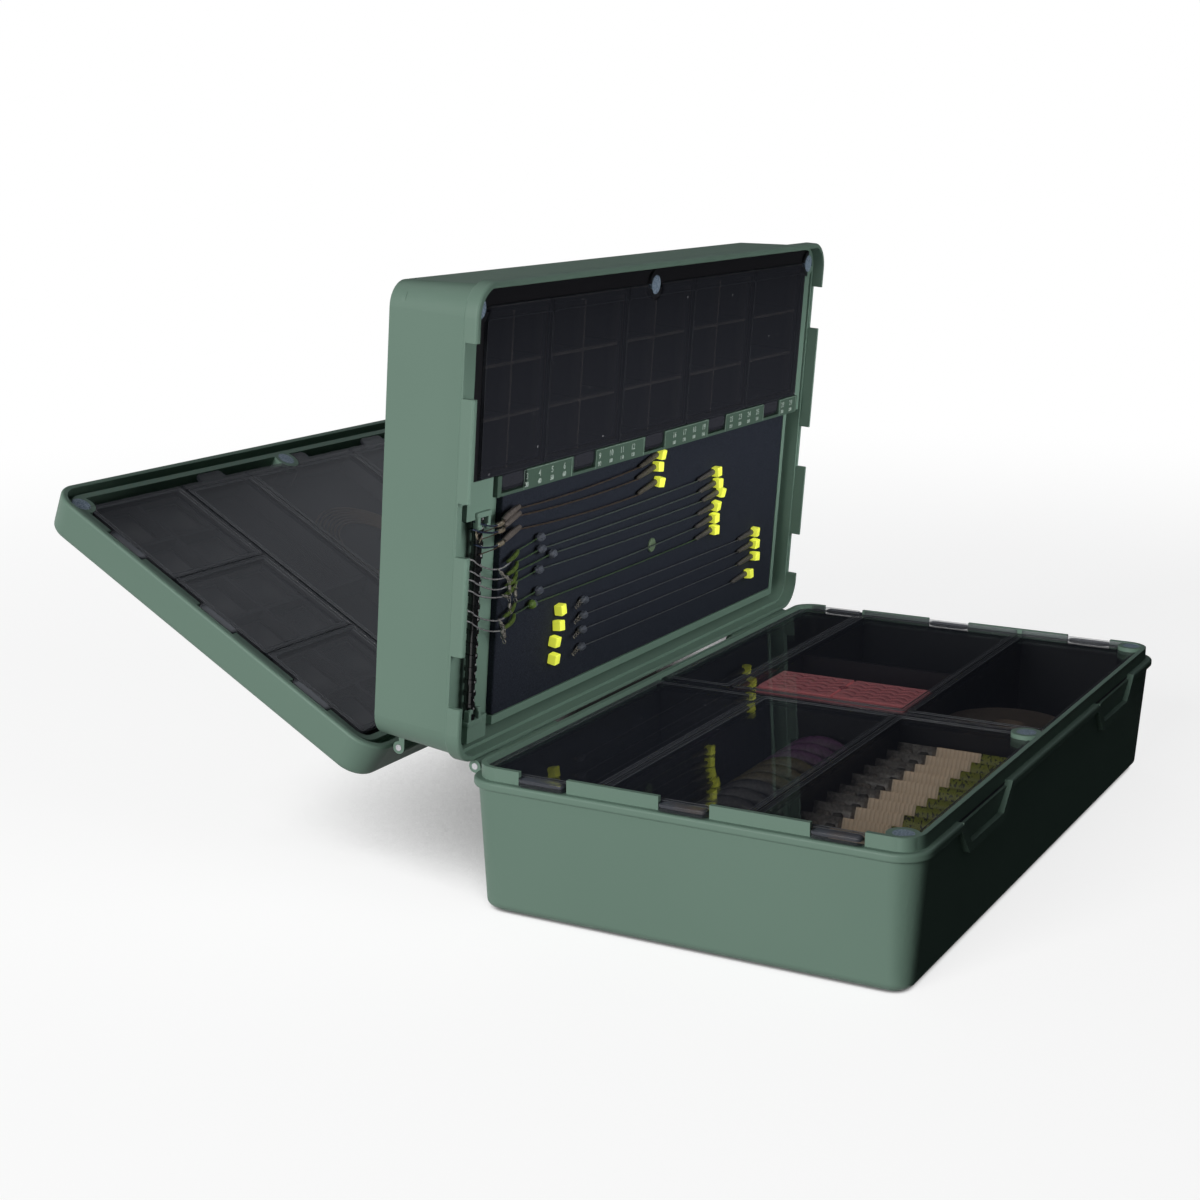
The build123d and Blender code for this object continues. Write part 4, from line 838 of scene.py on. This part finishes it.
# Spools are turned from a profile: c + s axis + r (cos a, sin a). Each kind has its number and the colours of its
# body and winding
spools = {"x": -5.05, "y": -138.0, "pitch": 11.6, "z": 24.6, "lean": 25.0, "kinds": {
    "Dark": (5, (0.10, 0.095, 0.095), (0.22, 0.18, 0.14)), "Olive": (3, (0.20, 0.16, 0.07), (0.32, 0.25, 0.12)),
    "Purple": (3, (0.24, 0.10, 0.24), (0.16, 0.07, 0.16))}}
turnUp = np.radians(90 - spools["lean"])
spoolAxis = np.array([0, -np.sin(turnUp), np.cos(turnUp)])
spoolUp = np.array([0, np.cos(turnUp), np.sin(turnUp)])
profile = np.array([(8.0, -1.9), (8.5, -2.5), (20.6, -2.5), (21.6, -2.3), (22.0, -1.8), (21.7, -1.3), (20.3, -1.1),
                    (20.0, -0.4), (20.1, 0.4), (20.3, 1.1), (21.7, 1.3), (22.0, 1.8), (21.6, 2.3), (20.6, 2.5),
                    (15.5, 2.5), (14.8, 2.1), (12.0, 2.1), (11.4, 2.5), (8.5, 2.5), (8.0, 1.9)])
inGroove = ((profile[:, 0] < 20.5) & (np.abs(profile[:, 1]) < 1.2)).astype(float)
radii, steps = profile[None, :, :1], profile[None, :, 1:]
angle = around(64)[:, None, None]
out = np.cos(angle) * np.array([1.0, 0, 0]) + np.sin(angle) * spoolUp
spoolY = spools["y"]
for kind, (number, body, wound) in spools["kinds"].items():
    spoolPiece = Piece("spools" + kind)
    for index in range(number):
        grid = np.array([spools["x"], spoolY, spools["z"]]) + spoolAxis * steps + radii * out
        spoolPiece.skin(grid, np.broadcast_to(inGroove[None], grid.shape[:2]), looped=True)
        spoolY += spools["pitch"]
    finish = byShade(spoolPiece.name, [(0, body), (0.5, wound)], 0.3)
    spoolPiece.finish(finish, ["spools_" + kind.lower()], kind.lower() + "_spool")

hookCase = {"x": (-52.5, 20.5), "y": (20.0, 51.5), "top": 52.5, "lift": 0.9, "depth": 0.8, "wave": 5.2, "pitch": 8.0,
            "inset": 1.3, "seam": 0.7, "eyeY": 35.8, "eye": (1.7, 0.6)}
casePiece = Piece("hookCaseRelief")
middleX = sum(hookCase["x"]) / 2
inset, seam = hookCase["inset"], hookCase["seam"]
for x0, x1 in ((hookCase["x"][0] + inset, middleX - seam), (middleX + seam, hookCase["x"][1] - inset)):
    # scales in rows across the case: each drops slowly to the far side and ends in a step that faces the front,
    # darkened with painted shade
    x = np.linspace(x0, x1, 64)[:, None]
    y = np.linspace(hookCase["y"][0] + inset, hookCase["y"][1] - inset, 80)[None]
    scale = (0.55 * np.abs(np.sin(np.pi * x / hookCase["pitch"])) - y / hookCase["wave"]) % 1
    edge = np.minimum(1, 6 * np.minimum(1 - np.abs(2 * (y - y.min()) / (y.max() - y.min()) - 1),
                                        1 - np.abs(2 * (x - x0) / (x1 - x0) - 1)))
    height = hookCase["top"] + hookCase["lift"] - hookCase["depth"] * (1 - scale) * edge
    stepShade = np.broadcast_to(np.clip(1.15 - 2.8 * scale, 0, 1) * edge, (64, 80))
    casePiece.skin(slab(x, y, height, hookCase["top"] - hookCase["lift"]), np.hstack([stepShade, np.zeros((64, 2))]))
eye = (middleX, hookCase["eyeY"], hookCase["top"] + 0.6)
casePiece.skin(ring(eye, *hookCase["eye"], (1, 0, 0), (0, 1, 0), 24, 8), 1.0, looped=True)
# the case and its relief give off a little light of their own, painted light that brightens them
redCase = mouldedPlastic("redCase", (0.86, 0.27, 0.28), (0.94, 0.32, 0.33), 0.5, 900, 0.00008, Specular_IOR_Level=0.2,
                         Emission_Color=(0.86, 0.27, 0.30, 1), Emission_Strength=0.14)
s = Surface("redRelief", (0.90, 0.29, 0.30), 0.5, Specular_IOR_Level=0.2, Emission_Strength=0.2)
paintedStepShade = s.add("ShaderNodeAttribute", attribute_name="shade").outputs["Fac"]
# the steps of the scales take a painted shade
reliefColour = s.blend(paintedStepShade, (0.94, 0.35, 0.37), (0.34, 0.10, 0.12))
s.colour(reliefColour)
s.feed("Emission Color", reliefColour)
casePiece.finish(s.material, (), "red_case", smooth=False)
nodes["hook_case"].data.materials[0] = redCase

# The reel's winding is turned from the turns of the line, with a radius of R - 0.35 + 0.35 |cos(pi n t)|
reelLow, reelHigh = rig.box("reel_line")
reelMid = (reelLow + reelHigh) / 2 * 1000
reelRadius, reelBottom, reelTop = (reelHigh.x - reelLow.x) * 500, reelLow.z * 1000, reelHigh.z * 1000
reelCore, turnsUp = 19.3, 30
woundPiece = Piece("reelWinding")
climb = np.linspace(0.02, 0.98, turnsUp * 6 + 1)
outside = reelRadius - 0.35 + 0.35 * np.abs(np.cos(np.pi * turnsUp * climb))
radii = np.concatenate([outside, np.linspace(reelRadius - 1, reelCore, 4), np.full(2, reelCore),
                        np.linspace(reelCore, reelRadius - 1, 4)])
steps = np.concatenate([climb, np.full(4, 0.98), (0.7, 0.3), np.full(4, 0.02)])
angle = around(64)[:, None]
woundPiece.skin(gridOf(reelMid.x + radii * np.cos(angle), reelMid.y + radii * np.sin(angle),
                       reelBottom + (reelTop - reelBottom) * steps), looped=True)
tanLine = mouldedPlastic("tanLine", (0.42, 0.30, 0.19), (0.50, 0.37, 0.24), 0.4, 900, 0.0001)
woundPiece.finish(tanLine, ["reel_line"], "tan_line")
nodes["line_coil"].data.materials[0] = tanLine
nodes["line_reel"].data.materials[0] = mouldedPlastic("reelFlange", (0.52, 0.41, 0.32), (0.60, 0.47, 0.37), 0.3)
print("the base is filled")

# Foam that reaches up behind the ruler, with the marks of the ruler in front of it
s = foamSurface = Surface("foam", (0.018, 0.021, 0.029), 0.85, Specular_IOR_Level=0.15, Sheen_Weight=0.02,
                          Sheen_Roughness=0.5)
fibre = s.noise(1900, 3, 0.7)
s.colour(s.blend(s.spread(fibre, 0.35, 0.7), (0.009, 0.011, 0.017), (0.026, 0.031, 0.043)))
s.bump(fibre, 0.6, 0.00025)
foam = {"x": (-82.5, 8.3), "y": (-125.75, 147.25), "z": (62.8, 65.7), "edge": 0.5, "back": 1.4, "round": (0.15, 0.18)}
foamPiece = Piece("rigFoam", "middle")


def roundedRing(x, y, inset, z, radius=1.2, steps=6):
    # a rectangle with rounded corners at one height: c + r (cos a, sin a) over a quarter turn at each corner
    a = np.linspace(0, np.pi / 2, steps)
    x0, x1, y0, y1 = x[0] + inset + radius, x[1] - inset - radius, y[0] + inset + radius, y[1] - inset - radius
    return np.concatenate([
        np.stack([cx + radius * np.cos(a + k * np.pi / 2), cy + radius * np.sin(a + k * np.pi / 2),
                  np.full(steps, z)], -1) for k, (cx, cy) in enumerate([(x1, y1), (x0, y1), (x0, y0), (x1, y0)])])


edge, (z0, z1), (in1, up1) = foam["edge"], foam["z"], foam["round"]
foamRings = [(foam["back"], z0), (edge, z0 + 0.02), (in1, z0 + up1), (0, z0 + edge), (0, z1), (foam["back"], z1)]
foamPiece.skin(np.stack([roundedRing(foam["x"], foam["y"], inset, z) for inset, z in foamRings]))
foamPiece.finish(foamSurface.material, ["rig_board"], "foam", smooth=False)

# The ruler's numbers count centimetres above and millimetres below; a thin pale line, a painted highlight of the
# edges, runs round each group of them
ruler = {"groups": [(3, 6), (9, 12), (16, 19), (22, 25), (28, 29)], "start": -164.75, "zero": 19.56, "pitch": 10.0,
         "face": 58.5, "upper": (14.2, 3.6, 0.02), "lower": (10.9, 2.7, 0.09), "narrow": 0.78, "line": 0.13,
         "segments": [(47, 86), (106, 150), (170, 214), (233, 277), (296, 316)], "across": (9.3, 16.9), "gap": 0.4}


def digits(text, size, bold):
    # a plain number as a thin closed mesh, centred on its own origin
    curve = bpy.data.curves.new(text, "FONT")
    curve.body, curve.size, curve.offset, curve.extrude, curve.resolution_u = text, size, bold, 0.05, 3
    curve.align_x, curve.align_y = "CENTER", "CENTER"
    holder = bpy.data.objects.new(text, curve)
    scene.collection.objects.link(holder)
    mesh = bpy.data.meshes.new_from_object(holder.evaluated_get(bpy.context.evaluated_depsgraph_get()))
    bpy.data.objects.remove(holder)
    return meshPoints(mesh), [list(polygon.vertices) for polygon in mesh.polygons]


def meshPoints(mesh):
    flat = np.zeros(len(mesh.vertices) * 3)
    mesh.vertices.foreach_get("co", flat)
    return flat.reshape(-1, 3)


markPiece = Piece("rulerMarks", "middle")
face = ruler["face"]
for low, high in ruler["groups"]:
    for number in range(low, high + 1):
        along = ruler["start"] + ruler["zero"] + ruler["pitch"] * number
        for text, (x, size, bold) in ((str(number), ruler["upper"]), (str(number * 10), ruler["lower"])):
            points, shapes = digits(text, size * (ruler["narrow"] if len(text) > 2 else 1), bold)
            points = np.stack([x + points[:, 1], along + points[:, 0], face - 0.03 - points[:, 2]], -1)
            markPiece.mesh(points, shapes, 0.0)
x0, x1 = ruler["across"]
for low, high in ruler["segments"]:
    y0, y1 = low + ruler["start"] + ruler["gap"], high + ruler["start"] - ruler["gap"]
    markPiece.skin(rings(linePath((x1, y0, face), (x1, y1, face), 0, 12), ruler["line"], 6), 1.0)
    for y in (y0, y1):
        markPiece.skin(rings(linePath((x0, y, face), (x1, y, face), 0, 8), ruler["line"], 6, (0, 0, 1)), 1.0)
# shade 1 gives the pale green of the painted edge highlights
rulerMark = byShade("rulerMark", [(0, (0.42, 0.50, 0.45)), (0.5, (0.24, 0.34, 0.28))], 0.5)
markPiece.finish(rulerMark, (), "green_plastic", smooth=False)
print("foam and ruler are set")

# Flaps: a bright bevel runs round each one in lines, a pale band lies between them, and a dark tab opens it.
# Each kind gives the line's radius and insets, the trim of its low and high x and y, or the side of the box that
# they end at, and its tab: the x of each, and y
flaps = {
    "base_flap_near": {"storey": "base", "y": (-159.0, None), "trim": (0, 0, 0, 3.0), "tabs": (-58.8, 0.5, 60.5),
                       "tabY": -161.2},
    "base_flap_far": {"storey": "base", "y": (None, 159.0), "trim": (0, 0, 3.0, 0), "tabs": (-66.0, -10.1, 60.5),
                      "tabY": 161.2},
    "lid_flap_near": {"storey": "lid", "y": (-153.9, None), "trim": (0, 0, 0, 2.4), "tabs": (-53.8, -0.8, 52.0),
                      "tabY": -156.0},
    "lid_flap_far": {"storey": "lid", "y": (None, 153.9), "trim": (0, 0, 2.4, 0), "tabs": (-53.8, -0.8, 52.0),
                     "tabY": 156.0},
    "lid_flap_strip": {"storey": "lid", "x": (None, 76.4), "trim": (3.2, 0, 0, 0)},
    "tray_flap": {"storey": "middle", "x": (17.6, None), "trim": (0, 5.0, 0, 0)},
}
flapLines = {"base": (0.17, (0.35, 2.7)), "middle": (0.12, (0.2,)), "lid": (0.15, (0.35, 2.4))}
flapParts = {"sink": 0.12, "band": (0.7, 2.4, 0.05), "frost": (158.62, 159.02, 57.2, 59.3), "tab": (9.6, 2.25, 0.85),
             "trayTab": (2.6, 8.6, 0.6), "trayTabX": 14.6, "lap": 0.1}


flapEdge = Surface("flapEdge", (0.075, 0.08, 0.09), 0.25, Specular_IOR_Level=0.5).material
flapBand = Surface("flapBand", (0.17, 0.18, 0.205), 0.3, Alpha=0.32).material
s = flapTab = Surface("flapTab", (0.09, 0.098, 0.12), 0.22)
# patches of warm tone at random, a painted reflection on the dark tabs
s.colour(s.blend(s.spread(s.noise(60, 1), 0.6, 0.8), (0.092, 0.10, 0.122), (0.14, 0.11, 0.095)))
trayTab = Surface("trayTab", (0.030, 0.031, 0.038), 0.25).material
for nodeName, node in nodes.items():
    if "_flap_" not in nodeName:
        continue
    kind = flaps[nodeName.rstrip("_0123456789")]
    storey, body, stem = kind["storey"], node["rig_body"], nodeName.replace("_", "")
    corners = shut(meshPoints(node.data), storey)
    low, high = corners.min(0), corners.max(0)
    sides = []
    for axis, name in enumerate("xy"):
        trimLow, trimHigh = kind["trim"][2 * axis:2 * axis + 2]
        setLow, setHigh = kind.get(name, (None, None))
        sides.append((low[axis] + trimLow if setLow is None else setLow,
                      high[axis] - trimHigh if setHigh is None else setHigh))
    face = high[2] - flapParts["sink"] if storey == "base" else low[2] + flapParts["sink"]
    edging = Piece(stem + "Edge", storey)
    wire, insets = flapLines[storey]
    for inset in insets:
        loop = roundedRing(*sides, inset, face, 1.6, 5)
        along = unit(np.roll(loop, -1, 0) - np.roll(loop, 1, 0))
        across = np.stack([-along[:, 1], along[:, 0], np.zeros(len(loop))], -1)[:, None]
        b = around(6)[None, :, None]
        edging.skin(loop[:, None] + wire * (across * np.cos(b) + np.array([0, 0, 1.0]) * np.sin(b)), looped=True)
    edging.finish(flapEdge, (), "smoked_clear", body=body)
    if storey != "middle":
        inner, outer, thick = flapParts["band"]
        band = Piece(stem + "Band", storey)
        band.skin(np.stack([roundedRing(*sides, inset, face + rise, 1.6, 5) for inset, rise in
                            ((inner, -thick), (outer, -thick), (outer, thick), (inner, thick))]), looped=True)
        if "base_flap_far" in nodeName:
            # a frosted lip stands up along the far edge
            y0, y1, z0, z1 = flapParts["frost"]
            lipLoop = [(y0, z0), (y1, z0), (y1, z1 - 0.15), (y1 - 0.1, z1), (y0 + 0.1, z1), (y0, z1 - 0.15)]
            x = np.linspace(sides[0][0] + 1, sides[0][1] - 1, 40)
            band.skin(np.stack([np.array([(along, y, z) for y, z in lipLoop]) for along in x]))
        band.finish(flapBand, (), "smoked_clear", body=body)
    half = flapParts["trayTab" if storey == "middle" else "tab"]
    if storey == "middle":
        tabAt = (flapParts["trayTabX"], sum(sides[1]) / 2)
    elif "tabs" in kind:
        tabAt = (kind["tabs"][int(nodeName[-1]) - 1], kind["tabY"])
    else:
        continue
    depth = high[2] - half[2] + flapParts["lap"] if storey == "base" else low[2] + half[2] - flapParts["lap"]
    tab = Piece(stem + "Tab", storey)
    tab.skin(pillow((*tabAt, depth), half, power=0.35, rows=12, columns=36))
    tab.finish(trayTab if storey == "middle" else flapTab.material, (), "smoked_clear", body=body)

# Each cell of the lid ends in a scoop: the floor rises to the walls by h (1 - (1 - u^2)(1 - v^2))
scoops = {"x": (-80.0, -26.5, 26.5, 79.5), "y": ((-153.9, -91.75), (84.25, 153.9)), "wall": 1.4, "rise": 3.4,
          "back": 0.4, "floor": 1.2, "sink": 0.1}


def halves(start, end):
    # two cells between their walls
    middle, wall = (start + end) / 2, scoops["wall"]
    return (start + wall, middle - wall), (middle + wall, end - wall)


trayTop = shut(meshPoints(nodes["lid_tray"].data), "lid").max(0)[2] - scoops["floor"]
scoopPiece = Piece("lidScoops", "lid")
u = np.linspace(-1, 1, 22)[:, None]
v = np.linspace(-1, 1, 22)[None]
dish = trayTop - scoops["sink"] - scoops["rise"] * (1 - (1 - u ** 2) * (1 - v ** 2))
for column in zip(scoops["x"], scoops["x"][1:]):
    for row in scoops["y"]:
        for x0, x1 in halves(*column):
            for y0, y1 in halves(*row):
                x, y = x0 + (x1 - x0) * (u + 1) / 2, y0 + (y1 - y0) * (v + 1) / 2
                scoopPiece.skin(slab(x, y, dish, trayTop + scoops["back"]))
scoop = Surface("scoop", (0.030, 0.032, 0.037), 0.28, Specular_IOR_Level=0.8)
scoopPiece.finish(scoop.material, (), "green_plastic")

s = magnetFace = Surface("magnetFace", (0.25, 0.33, 0.43), 0.42, Metallic=0.15)
grit = s.noise(1500, 3, 0.8)
s.colour(s.blend(s.spread(grit, 0.4, 0.62), (0.10, 0.15, 0.22), (0.36, 0.45, 0.55)))
s.bump(grit, 0.5, 0.0002)
barBlack = Surface("barBlack", (0.008, 0.008, 0.009), 0.16, Coat_Weight=0.4, Coat_Roughness=0.08)
for nodeName, node in nodes.items():
    if "magnets" in nodeName:
        node.data.materials[0] = magnetFace.material
# the ruler strip is a darker green than the rest of the plastic, a painted shade
nodes["ruler_strip"].data.materials[0] = mouldedPlastic("rulerGreen", (0.052, 0.088, 0.066), (0.06, 0.1, 0.075), 0.5,
                                                        Specular_IOR_Level=0.3)
nodes["hook_bar"].data.materials[0] = barBlack.material
nodes["board_rivet"].data.materials[0] = mouldedPlastic("rivetGreen", (0.10, 0.15, 0.09), (0.13, 0.18, 0.11), 0.35)
print("flaps, magnets and bar are finished")

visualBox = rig.bounds()
with open("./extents.json", "w") as sizeFile:
    json.dump({"cad": [[float(v) for v in corner] for corner in cadBox],
               "visual": [[float(v) for v in corner] for corner in visualBox]}, sizeFile)
